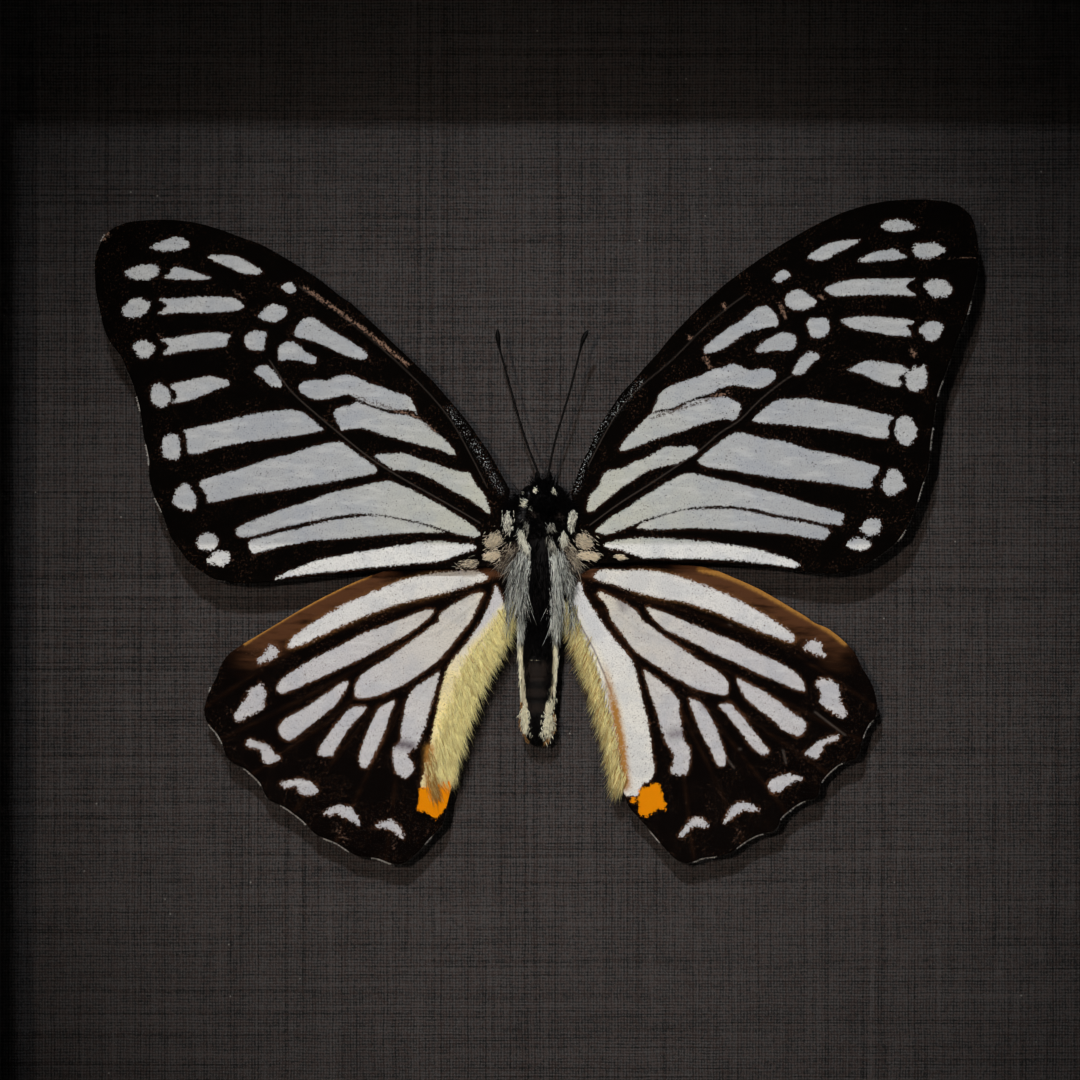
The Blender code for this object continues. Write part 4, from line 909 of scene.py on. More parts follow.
def wing(shape, size, lift, layers, materials, slot):
    """One wing: a fine sheet laid out between its four edges, with a closed rim and underside."""
    name, outline = shape["name"], shape["edge"]
    tip, heel = shape["corners"]
    columns, rows = size
    mesh = bpy.data.meshes.new(name)
    bm = bmesh.new()
    bmesh.ops.create_grid(bm, x_segments=columns, y_segments=rows, size=0.5)
    at = np.array([v.co[:2] for v in bm.verts]) + 0.5
    u, v = at[:, 0], at[:, 1]
    front = rounded(outline[: tip + 1], False)
    outer = rounded(outline[tip : heel + 1], False)
    rear = rounded(outline[heel:], False)[::-1]
    root = np.array([outline[-1], outline[0]])
    a, b = spaced(rear, u), spaced(front, u)
    c, d = spaced(root, v), spaced(outer[::-1], v)
    u, v = u[:, None], v[:, None]
    flat = (1 - v) * a + v * b + (1 - u) * c + u * d
    flat -= (
        (1 - u) * (1 - v) * rear[0]
        + u * (1 - v) * rear[-1]
        + (1 - u) * v * front[0]
        + u * v * front[-1]
    )
    values, relief = layers(flat, shape)
    height = lift(flat) + WING_RAISE + relief
    co = world(flat, height)
    for vert, place in zip(bm.verts, co):
        vert.co = place
    rim = [e for e in bm.edges if e.is_boundary]
    count = len(bm.verts)
    wall = bmesh.ops.extrude_edge_only(bm, edges=rim)["geom"]
    lower = [g for g in wall if isinstance(g, bmesh.types.BMVert)]
    bmesh.ops.translate(bm, verts=lower, vec=(0, WING_THICK * MM, 0))
    edges = [g for g in wall if isinstance(g, bmesh.types.BMEdge) and g.is_boundary]
    under = bmesh.ops.contextual_create(bm, geom=edges)["faces"]
    bmesh.ops.recalc_face_normals(bm, faces=bm.faces)
    for face in under:
        face.material_index = 1
    bm.to_mesh(mesh)
    bm.free()
    plain = np.zeros(len(mesh.vertices) - count)
    for key, value in values.items():
        rim_value = plain - 1 if key in ("marking", "spot") else plain
        values[key] = np.concatenate([value, rim_value])
    write(mesh, **values)
    finished(name, mesh, name, slot, *materials)


def marked(flat, patches):
    """Distance inside the nearest marking, and how ragged that marking's edge is."""
    best = np.full(len(flat), -WITHIN_REACH)
    ragged = np.full(len(flat), 0.06)
    for rough, points in patches:
        away = inside(flat, rounded(points))
        nearer = away > best
        best = np.where(nearer, away, best)
        ragged = np.where(nearer, rough, ragged)
    return best, ragged


def streaks(flat, lines):
    """The strongest of several soft lines, each given with its width and its strength."""
    best = np.zeros(len(flat))
    for line, width, strength in lines:
        best = np.maximum(best, strength * bell(to_line(flat, line), width))
    return best


def settled(relief, flat, shape):
    """The relief, fading out towards the wing's edge and never deep."""
    edge = to_line(flat, np.array(shape["edge"]), True)
    return np.maximum(relief * np.clip(edge / 0.6, 0, 1), -0.1)


def forewing_layers(flat, shape):
    """A forewing's colours and relief at each place."""
    marking, ragged = marked(flat, shape["patches"])
    from_body = np.hypot(flat[:, 0], flat[:, 1] - 1)
    none = np.zeros(len(flat))
    relief = np.zeros(len(flat))
    vein_highlight_and_fleck = none
    for line, strength in shape["veins"]:
        away = to_line(flat, rounded(line, False, 3))
        # each vein's thin paler line is a painted highlight along the raised vein
        vein_highlight_and_fleck = np.maximum(vein_highlight_and_fleck, strength * bell(away, 0.06))
        relief += 0.09 * bell(away, 0.20) - 0.05 * bell(away, 0.8)
    for line in shape["ribs"]:
        away = to_line(flat, line)
        relief += 0.035 * bell(away, 0.18) - 0.04 * bell(away, 0.9)
    relief += 0.05 * np.sin(flat[:, 0] * 0.22 + flat[:, 1] * 0.31)
    lowest_band = 0.85 * np.clip(-flat[:, 1] * 2.5 - 0.5, 0, 1)
    # towards the tip the pale scales are painted lighter: a painted light that makes up for the lamps'
    # fall-off there
    tip_painted_light = 0.55 * np.clip((from_body - 29) / 20, 0, 1)
    return dict(
        marking=marking, ragged=ragged, warm=np.clip(1.15 - from_body / 19, 0, 1),
        bright=np.maximum(lowest_band, tip_painted_light), brown=none + 0.05, dusk_and_fold_shade=none, gold=none,
        worn=streaks(flat, shape["worn"]), silver=streaks(flat, shape["silver"]),
        vein_highlight_and_fleck=vein_highlight_and_fleck, spot=none - 1,
    ), settled(relief, flat, shape)


def hindwing_layers(flat, shape):
    """A hindwing's colours and relief at each place."""
    side, fold = shape["side"], rounded(shape["fold"], False)
    x, z = np.abs(flat[:, 0]), flat[:, 1]
    none = np.zeros(len(flat))
    marking, ragged = marked(flat, shape["patches"])

    # the pale stripe along the inner edge is yellow low down and along its fold
    stripe = inside(flat, rounded(shape["stripe"]))
    nearer = stripe > marking
    in_stripe = nearer & (stripe > -0.3)
    marking = np.where(nearer, stripe, marking)
    ragged = np.where(nearer, 0.12, ragged)
    crease = to_line(flat, fold)
    low = np.clip((-9.5 - z) / 4.5, 0, 1) * (0.95 if side < 0 else 0.3)
    yellow = np.maximum(low, np.clip(1 - crease / 1.1, 0, 1))
    from_body = np.hypot(flat[:, 0], z + 3)
    warm = np.where(in_stripe, yellow, np.clip(0.35 - from_body / 60, 0, 1))

    relief = np.zeros(len(flat))
    for line in shape["ribs"]:
        away = to_line(flat, line)
        relief += 0.06 * bell(away, 0.2) - 0.05 * bell(away, 0.9)
    relief -= 0.10 * bell(crease, 0.35)
    relief += 0.05 * np.sin(flat[:, 0] * 0.3 - z * 0.2)

    # brown along the front edge, the ribs and the wing's root, gold on the very edge
    front = to_line(flat, rounded(shape["front"], False))
    root = [(side * 3.4, -3.0), (side * 5.2, -3.3)]
    brown = np.clip(1.1 - front / 3.4, 0, 1) * np.clip((x - 7) / 5, 0, 1)
    brown *= np.clip((33.5 - x) / 7, 0, 1)
    others = streaks(flat, [(line, 0.3, 0.15) for line in shape["ribs"]] + [(root, 0.6, 0.9)])
    first = inside(flat, rounded(shape["patches"][0][1]))
    halo = np.clip(1 + first / 0.75, 0, 1) * (first < 0)
    rim_gold = 0.9 * bell(front, 0.26 + side * 0.08)
    inner_gold = 0.95 * bell(to_line(flat, shape["tan"]), 0.25 - z / 60) * np.clip((-11 - z) / 6, 0, 1)
    gold = np.maximum(rim_gold, 0.3 * halo**2 * (x < 26) * (x > 9))

    spot = none - WITHIN_REACH
    for points in shape["spots"]:
        spot = np.maximum(spot, inside(flat, rounded(points)))
    first_bright = 0.6 * np.clip(first * 2 + 0.6, 0, 1)
    return dict(
        marking=marking, ragged=ragged, warm=warm,
        bright=np.maximum(first_bright, 0.7 * (in_stripe & (side > 0))),
        brown=np.maximum(brown, others), dusk_and_fold_shade=streaks(flat, shape["bruises"]),
        gold=np.clip(np.maximum(gold, inner_gold), 0, 1),
        worn=streaks(flat, shape["worn"]), silver=none,
        vein_highlight_and_fleck=streaks(flat, [(line, 0.09, 1) for line in shape["flecks"]]), spot=spot,
    ), settled(relief, flat, shape)


# ---------------------------------------------------------------- hair and scales


def strand_shape(sides, levels):
    """One tapered strand of unit length and unit radius, closed at both ends."""
    bm = bmesh.new()
    bmesh.ops.create_cone(
        bm, cap_ends=True, segments=sides, radius1=1, radius2=0.12, depth=1,
        matrix=Matrix.Translation((0, 0, 0.5)),
    )
    for k in range(1, levels):
        bmesh.ops.bisect_plane(
            bm, geom=bm.verts[:] + bm.edges[:] + bm.faces[:],
            plane_co=(0, 0, k / levels), plane_no=(0, 0, 1),
        )
    bmesh.ops.triangulate(bm, faces=bm.faces)
    bmesh.ops.recalc_face_normals(bm, faces=bm.faces)
    places = np.array([v.co[:] for v in bm.verts])
    faces = np.array([[v.index for v in f.verts] for f in bm.faces])
    bm.free()
    # a strand keeps its width for most of its length, then narrows to its tip
    far = places[:, 2]
    shrink = (1 - far**3 * 0.88) / (1 - far * 0.88)
    places[:, :2] *= shrink[:, None]
    return places, faces


STRAND = strand_shape(3, 4)
LEAF = strand_shape(4, 2)


def strands(name, roots, ways, lengths, radii, tones, bends, material, slot, shape, flat):
    """Joins one strand at every root. ways and bends are directions in the object's own axes."""
    places, faces = shape
    n, m = len(roots), len(places)
    ways = ways / np.linalg.norm(ways, axis=1)[:, None]
    side = np.cross(ways, np.array([0.0, 1.0, 0.0]))
    side += 1e-6
    side /= np.linalg.norm(side, axis=1)[:, None]
    over = np.cross(ways, side)
    x, y, t = places.T
    along = lengths[:, None] * t
    co = (
        roots[:, None, :]
        + ways[:, None, :] * along[..., None]
        + bends[:, None, :] * (lengths[:, None] * t * t)[..., None]
        + side[:, None, :] * (radii[:, None] * x)[..., None]
        + over[:, None, :] * (radii[:, None] * y * flat)[..., None]
    ).reshape(-1, 3)
    index = (faces[None] + (np.arange(n) * m)[:, None, None]).reshape(-1, 3)
    mesh = bpy.data.meshes.new(name)
    mesh.vertices.add(len(co))
    mesh.vertices.foreach_set("co", co.astype(np.float32).ravel())
    mesh.loops.add(index.size)
    mesh.loops.foreach_set("vertex_index", index.astype(np.int32).ravel())
    mesh.polygons.add(len(index))
    mesh.polygons.foreach_set("loop_start", np.arange(0, index.size, 3, dtype=np.int32))
    mesh.update(calc_edges=True)
    write(mesh, tone=np.repeat(tones, m))
    finished(name, mesh, None, slot, material)


rng = np.random.default_rng(11)


def tuft(line, count, spread, ways, length, radius, tone, fan=0.25, bend=(0, 0, 0), mix=0.2):
    """Strands along a line of (across, up, lift). ways are the directions at its two ends."""
    line = np.asarray(line, float)
    t = rng.random(count)
    run = np.linspace(0, 1, len(line))
    at = np.stack([np.interp(t, run, line[:, k]) for k in range(3)], 1)
    at += rng.normal(0, spread, (count, 3)) * (1, 1, 0.5)
    first, last = np.asarray(ways[0], float), np.asarray(ways[-1], float)
    way = first + (last - first) * t[:, None]
    way = way + rng.normal(0, fan, (count, 3)) * np.linalg.norm(way, axis=1)[:, None]
    bends = np.asarray(bend, float) + rng.normal(0, 0.08, (count, 3))
    return (
        at,
        way,
        length * rng.uniform(0.55, 1.25, count),
        radius * rng.uniform(0.7, 1.25, count),
        np.clip(rng.normal(tone, mix, count), 0, 1),
        bends,
    )


def hair(name, groups, material, slot, shape=STRAND, flat=1.0):
    """Joins groups of strands, each given in mm across, up and off the card."""
    at, way, length, radius, tone, bend = (np.concatenate(g) for g in zip(*groups))
    swap = np.array([[1, 0, 0], [0, 0, 1], [0, -1, 0]], float)
    roots = world(at[:, :2], at[:, 2])
    roots[:, 1] = CARD - np.maximum(at[:, 2], 0.15) * MM
    return strands(
        name, roots, way @ swap, length * MM, radius * MM, tone, bend @ swap,
        material, slot, shape, flat,
    )


def turned(bm, path, radius, sides, levels, ovals=(1, 1)):
    """A closed column along the path, its ends drawn in. radius is a function of 0 to 1."""
    others = set(bm.verts)
    made = bmesh.ops.create_cone(
        bm, cap_ends=True, segments=sides, radius1=1, radius2=1, depth=1,
        matrix=Matrix.Translation((0, 0, 0.5)),
    )["verts"]
    geom = set(made)
    for v in made:
        geom.update(v.link_edges)
        geom.update(v.link_faces)
    for k in range(1, levels):
        share = 0.5 - 0.5 * math.cos(math.pi * k / levels)
        cut = bmesh.ops.bisect_plane(bm, geom=list(geom), plane_co=(0, 0, share), plane_no=(0, 0, 1))
        geom.update(cut["geom"], cut["geom_cut"])
    mine = [v for v in bm.verts if v not in others]
    path = np.asarray(path, float)
    run = np.concatenate([[0], np.cumsum(np.linalg.norm(np.diff(path, axis=0), axis=1))])
    run /= run[-1]
    spots = np.array([v.co[:] for v in mine])
    t = spots[:, 2]
    mid = np.stack([np.interp(t, run, path[:, k]) for k in range(3)], 1)
    ahead = np.stack(
        [np.interp(t + 0.02, run, path[:, k]) - np.interp(t - 0.02, run, path[:, k]) for k in range(3)], 1
    )
    ahead /= np.linalg.norm(ahead, axis=1)[:, None]
    side = np.cross(ahead, (0.0, 0.0, 1.0))
    side /= np.linalg.norm(side, axis=1)[:, None]
    over = np.cross(side, ahead)
    size = radius(t)[:, None]
    place = mid + side * spots[:, :1] * size * ovals[0] + over * spots[:, 1:2] * size * ovals[1]
    co = world(place[:, :2], place[:, 2])
    for v, c in zip(mine, co):
        v.co = c
    return place, t


def body_mesh(name, bm, material, slot, node, **layers):
    """Makes the mesh a piece that stands for the node."""
    bmesh.ops.recalc_face_normals(bm, faces=bm.faces)
    mesh = bpy.data.meshes.new(name)
    bm.to_mesh(mesh)
    bm.free()
    write(mesh, **layers)
    finished(name, mesh, node, slot, material)


def body_finish(name, dark, middle, light):
    """Horny skin with greyer and paler scales where the piece's points say, and glossy eyes."""
    f = Finish(name)
    streak = f.cloud(f.place(scale=(1, 1, 0.3)), 5200, 2.0)
    fine = f.cloud(f.place(), 8000, 1.0)
    tone = f.attribute("tone") + (streak - 0.5) * 0.9
    grey = f.attribute("grey") + (fine - 0.5) * 0.7
    colour = f.tint(grey.step(0.2, 0.9), dark, middle)
    colour = f.tint(tone.step(0.35, 0.65), colour, light)
    return f.shown(f.shader(
        Base_Color=colour,
        Roughness=0.66 + fine * 0.14 - f.attribute("eye") * 0.5,
        Normal=f.bump(streak, 0.00004, 0.7),
        Specular_IOR_Level=0.12,
    ))


# ---------------------------------------------------------------- the butterfly


def forewing_lift(flat):
    """A forewing's height off the card, in mm: it slopes up towards its tip."""
    return 4.7 + np.abs(flat[:, 0]) * math.tan(math.radians(1.6))


def hindwing_lift(flat):
    """A hindwing's height off the card, in mm: it lies under the forewing, almost level."""
    return 3.7 + np.abs(flat[:, 0]) * math.tan(math.radians(0.4))


def flip(line):
    """The line on the other side of the body."""
    return [(-x, z) for x, z in line]


underside = underside_finish()
forewing_scales = [
    wing_finish(
        "forewing_scales" + end, side, paint(180, 182, 185), paint(200, 200, 183),
        paint(4, 2, 1), paint(40, 21, 13),
    )
    for side, end in ((1, "_left"), (-1, "_right"))
]
hindwing_scales = [
    wing_finish(
        "hindwing_scales" + end, side, paint(205, 202, 204), paint(250, 230, 162),
        paint(7, 3, 2), paint(86, 54, 34),
    )
    for side, end in ((1, "_left"), (-1, "_right"))
]
RIBS = [
    [(-25, 15), (-33, 20.5), (-43.4, 20.6)], [(-25.5, 14), (-33, 15.2), (-41, 16)],
    [(-24, 12.5), (-32, 12), (-39.6, 10.4)], [(-22, 11), (-31, 8.6), (-39, 6)],
    [(-19, 9), (-29, 4.6), (-37.2, 1.2)], [(-15, 6.8), (-25, 2.6), (-34, -2.9)],
    [(-6, 1.2), (-18, 0.6), (-29, -4.2)], [(-27, 17.9), (-35, 25), (-43.8, 28)],
    [(-25, 20), (-33, 27.5), (-39, 31.8)],
]
SUBCOSTA = [(-24, 25.3), (-20, 22.6), (-16, 19.3), (-12, 15.6), (-9, 12.1), (-7, 8.6), (-5.3, 5.3)]
MEDIAN = [
    (-27, 17.9), (-25, 15), (-22.5, 12.7), (-20, 10.6), (-17, 8.2), (-14, 6.3), (-11, 4.6),
    (-8, 2.9), (-6, 1.7),
]
RIGHT_SUBCOSTA = [(20.5, 24.5), (17, 21.8), (13.2, 18), (10, 15.3), (8, 13.1), (6.4, 10.5), (4.8, 7.4)]
RIGHT_MEDIAN = [
    (27, 17.5), (24.5, 16), (22, 14), (20, 12), (18, 10.7), (16, 9), (14, 7.6), (11, 5.6),
    (8, 3.7), (5, 1.5),
]
LEFT_WORN = [
    ([(-23.5, 25.2), (-18, 21.4), (-13.3, 17.6)], 0.3, 0.85),
    ([(-18.6, 14.4), (-15.5, 13.4), (-12.6, 12.4), (-10.5, 10.9)], 0.3, 0.75),
    ([(-43.6, 30.1), (-43.2, 30.6)], 0.35, 0.9),
    ([(-38, 20.5), (-37.4, 19.6)], 0.35, 0.5), ([(-30.5, 24.8), (-29.6, 24.2)], 0.3, 0.5),
]
RIGHT_WORN = [
    ([(28, 24.4), (28.4, 24)], 0.2, 0.9), ([(24, 23.6), (24.5, 22.3)], 0.35, 0.8),
    ([(16.5, 18.3), (17, 17.3)], 0.35, 0.8), ([(37.2, 18.8), (37.5, 18.5)], 0.35, 0.9),
    ([(38.5, 28.2), (43.5, 28.2)], 0.10, 0.8), ([(14.9, 20.4), (15, 20.2)], 0.3, 0.9),
    ([(18.4, 23.5), (18.5, 23.3)], 0.3, 0.9), ([(11.2, 12.2), (14, 13.1), (18.7, 14.7)], 0.3, 0.85),
]
LEFT_FOREWING.update(
    name="forewing_left", side=-1, corners=(25, 53),
    veins=[(SUBCOSTA, 0.5), (MEDIAN, 0.75)], ribs=RIBS, worn=LEFT_WORN,
    silver=[([(-4, 5), (-6.2, 9), (-9, 13)], 0.32, 1)],
    nicks=[
        (-43.9, 30.6, -43.4, 29.6), (-40.2, 14, -40.0, 13.1), (-39.4, 9.2, -39.1, 7.8),
        (-38.3, 3.9, -37.9, 3.1),
    ],
)
RIGHT_FOREWING.update(
    name="forewing_right", side=1, corners=(26, 54),
    veins=[(RIGHT_SUBCOSTA, 0.5), (RIGHT_MEDIAN, 0.75)], ribs=[flip(r) for r in RIBS], worn=RIGHT_WORN,
    silver=[([(3.6, 5), (4.6, 8), (5.8, 10.7), (7.7, 13.1), (10, 15.8)], 0.28, 1)],
    nicks=[
        (43.2, 23.6, 43.0, 22.6), (40.1, 15.7, 39.8, 14.6), (39.2, 11, 39.1, 9.3),
        (38.2, 5.6, 37.9, 4.2), (36.3, 0.8, 35.9, 0.2),
    ],
)
HIND_RIBS = [
    [(-6, -5), (-13, -6.6), (-24, -10.4), (-33.4, -16.6)], [(-14, -10.5), (-22, -15), (-32, -20)],
    [(-14.4, -12), (-21, -18), (-28.8, -23.4)], [(-14.2, -14), (-19, -20), (-24.6, -27.2)],
    [(-13.6, -16), (-16.6, -22), (-20.4, -30.2)], [(-12.4, -16), (-14.2, -22), (-15.4, -32)],
    [(-5.5, -5.5), (-10, -9), (-14, -10.5), (-14.4, -13), (-12.4, -16), (-8.8, -11), (-5.5, -6)],
]
LEFT_HINDWING.update(
    name="hindwing_left", side=-1, corners=(19, 52),
    stripe=[
        (-4.4, -4.6), (-4.8, -5.8), (-5.3, -7), (-5.9, -8.2), (-6.6, -9.3), (-7.4, -10.4),
        (-8.3, -11.5), (-9, -12.4), (-9.4, -13.3), (-9.8, -14.6), (-10.1, -16), (-10.4, -17.5),
        (-10.7, -19), (-11, -20.5), (-11.3, -22), (-11.7, -23.5), (-11.9, -24.7), (-10.6, -25.2),
        (-9, -25.2), (-8.6, -24), (-7.9, -21), (-7.1, -18), (-6.1, -15), (-4.9, -12), (-3.9, -9.3),
        (-3.5, -7),
    ],
    fold=[
        (-3.2, -7), (-4.5, -8.7), (-5.6, -9.9), (-6.6, -11), (-7.4, -13), (-8.2, -17), (-9, -21),
        (-9.6, -24),
    ],
    spots=[
        [
            (-12.1, -25), (-11.4, -24.7), (-10.4, -24.4), (-9.4, -24.1), (-8.8, -24.2), (-9, -25.6),
            (-9.3, -26.6), (-9.6, -27), (-10.1, -27.6), (-10.5, -27.9), (-11, -27.4), (-11.8, -27.1),
            (-12.3, -26.9), (-12.1, -26),
        ],
    ],
    front=[(-17, -3.6), (-20, -4.9), (-24, -7), (-28, -9.4), (-29.5, -10.4)],
    ribs=HIND_RIBS,
    worn=[([(-20.5, -28.5), (-19.5, -30)], 0.5, 0.45), ([(-14.5, -28.4), (-14.5, -31)], 0.5, 0.35)],
    flecks=[[(-20.4, -20.8), (-20.2, -20.6)]],
    nicks=[
        (-32.25, -13.7, -32.9, -15), (-32.9, -18.7, -31.85, -20.1), (-29.4, -22.9, -27.95, -24.3),
        (-25.7, -26.6, -23.55, -28.2), (-21.4, -29.9, -19.4, -30.95), (-16.6, -31.8, -15.15, -32.3),
        (-11.4, -30.2, -11.1, -29.7),
    ],
    bruises=[
        ([(-14.3, -20.3), (-12.9, -20.6)], 0.55, 0.95), ([(-12, -7.6), (-7.5, -4.6)], 0.5, 0.2),
        # painted shade: a dark line along the fold, beside the yellow hair
        ([(-3.2, -7), (-4.6, -8.8), (-6.2, -10.5), (-7.2, -12.2)], 0.1, 0.9),
    ],
    tan=[(-11, -21), (-10.9, -25)],
)
RIGHT_HINDWING.update(
    name="hindwing_right", side=1, corners=(25, 60),
    stripe=[
        (4, -4.2), (4.3, -5.2), (4.9, -6.2), (5.5, -7.2), (6.2, -8.3), (7, -9.4), (7.8, -10.4),
        (8.6, -11.3), (9.2, -12.2), (9.6, -13.3), (9.9, -14.5), (10.2, -16), (10.6, -17.5), (10.9, -19),
        (11.1, -20.5), (11.3, -22), (11.4, -23.2), (11, -24), (10.2, -24.4), (9.9, -25.4), (9.3, -25.6),
        (8.8, -25.6), (8.3, -25.2), (7.8, -23), (7.1, -19.8), (6.4, -17), (5.6, -14), (4.5, -11),
        (3.5, -8), (3.2, -5.5),
    ],
    fold=[
        (3.2, -7.5), (4.2, -9.5), (5.2, -11.2), (6.3, -13.2), (7.2, -15.2), (7.8, -17.5), (8.2, -20),
        (8.1, -22), (7.9, -24),
    ],
    spots=[
        [
            (9.9, -25.3), (10.2, -24.8), (10.9, -24.7), (11.4, -24.3), (11.9, -24.4), (12.2, -25),
            (12.3, -25.8), (12.6, -26.6), (12.5, -27), (11.9, -26.9), (11.3, -27.3), (10.6, -27.6),
            (10, -27.4), (9.8, -26.5),
        ],
        [(9.0, -26), (9.3, -25.7), (9.6, -26), (9.3, -26.3)],
    ],
    front=[(16, -2.9), (19, -3.7), (22, -5.1), (25, -6.8), (28.7, -8.9), (30.5, -10.3)],
    ribs=[flip(r) for r in HIND_RIBS],
    worn=[([(20, -28.6), (19.6, -30)], 0.5, 0.3)],
    flecks=[
        [(18.95, -8.5), (19.05, -8.5)], [(19.9, -20.9), (20.1, -20.9)], [(27.5, -17.2), (30.5, -19.5)],
        [(24.3, -21), (24.6, -22.3)], [(18.8, -22), (19.4, -22.8)],
    ],
    nicks=[
        (32.4, -13, 33.1, -14.4), (33.2, -18.2, 32.4, -19.5), (30, -22.4, 28.3, -24),
        (26.2, -26.2, 24.1, -27.7), (22, -29.5, 19.8, -30.6), (17.3, -31.6, 15.5, -32),
        (11.2, -29.1, 11.8, -30),
    ],
    bruises=[
        ([(13.2, -19.4), (14.6, -19.2)], 0.6, 0.65), ([(8.1, -6.3), (8.3, -6.7)], 0.55, 0.6),
        ([(16.1, -16), (16.4, -16.6)], 0.4, 0.5), ([(20.8, -17.6), (20.9, -18.4)], 0.3, 0.3),
        # painted shade: a dark line along the fold, beside the yellow hair
        ([(3.2, -6.6), (4.2, -8.8), (5.4, -11), (6.5, -13.6), (7.1, -15.2)], 0.1, 0.9),
    ],
    tan=[(6.5, -12.5), (7.5, -17), (8.1, -20.5), (8.5, -24.5)],
)

fringe_white = hair_finish("wing_fringe", paint(24, 14, 10), paint(196, 190, 184), 0.3)


def fringe(shape, lift, slot):
    """The scale fringe round a wing's outer edge, white in its nicks."""
    tip, heel = shape["corners"]
    edge = rounded(shape["edge"][tip - 2 : heel + 3], False)
    length = np.hypot(*np.diff(edge, axis=0).T).sum()
    count = int(length / 0.05)
    at = spaced(edge, np.linspace(0, 1, count)) + rng.normal(0, 0.03, (count, 2))
    along = np.gradient(spaced(edge, np.linspace(0, 1, count)), axis=0)
    out = np.stack([along[:, 1], -along[:, 0]], 1)
    out /= np.linalg.norm(out, axis=1)[:, None]
    middle = np.array(shape["edge"], float).mean(0)
    out *= np.sign(((at - middle) * out).sum(1).mean())
    tone = np.full(count, 0.08)
    size = np.full(count, 0.09)
    for ax, az, bx, bz in shape["nicks"]:
        near = to_line(at, [(ax, az), (bx, bz)]) < 0.3
        tone[near], size[near] = 0.9, 0.14
    tone = np.clip(tone + rng.normal(0, 0.12, count), 0, 1)
    low = lift(at) + 0.02
    ways = np.concatenate([out + rng.normal(0, 0.16, (count, 2)), rng.normal(0, 0.1, (count, 1))], 1)
    group = (
        np.concatenate([at - out * 0.16, low[:, None]], 1), ways,
        size * rng.uniform(0.75, 1.3, count) + 0.16, np.full(count, 0.05) * rng.uniform(0.8, 1.3, count),
        tone, np.zeros((count, 3)),
    )
    hair(shape["name"] + "_fringe", [group], fringe_white, slot, LEAF, 0.3)


for shape in (LEFT_FOREWING, RIGHT_FOREWING):
    faces = (forewing_scales[shape["side"] > 0], underside)
    wing(shape, (290, 205), forewing_lift, forewing_layers, faces, "forewing_scales")
    fringe(shape, forewing_lift, "forewing_scales")
for shape in (LEFT_HINDWING, RIGHT_HINDWING):
    faces = (hindwing_scales[shape["side"] > 0], underside)
    wing(shape, (240, 240), hindwing_lift, hindwing_layers, faces, "hindwing_scales")
    fringe(shape, hindwing_lift, "hindwing_scales")

black_hair = hair_finish("thorax_fuzz", paint(3, 2, 3), paint(26, 23, 23), 0.06)
pale_hair = hair_finish("pale_hair", paint(60, 54, 46), paint(255, 253, 238), 0.15)
grey_hair = hair_finish("grey_hair", paint(12, 11, 12), paint(244, 246, 238), 0.15)
cream_line_hair = hair_finish("cream_line_hair", paint(90, 74, 50), paint(255, 250, 224), 0.15)
DOWN = (0, -1, -0.05)  # along the body to its tail


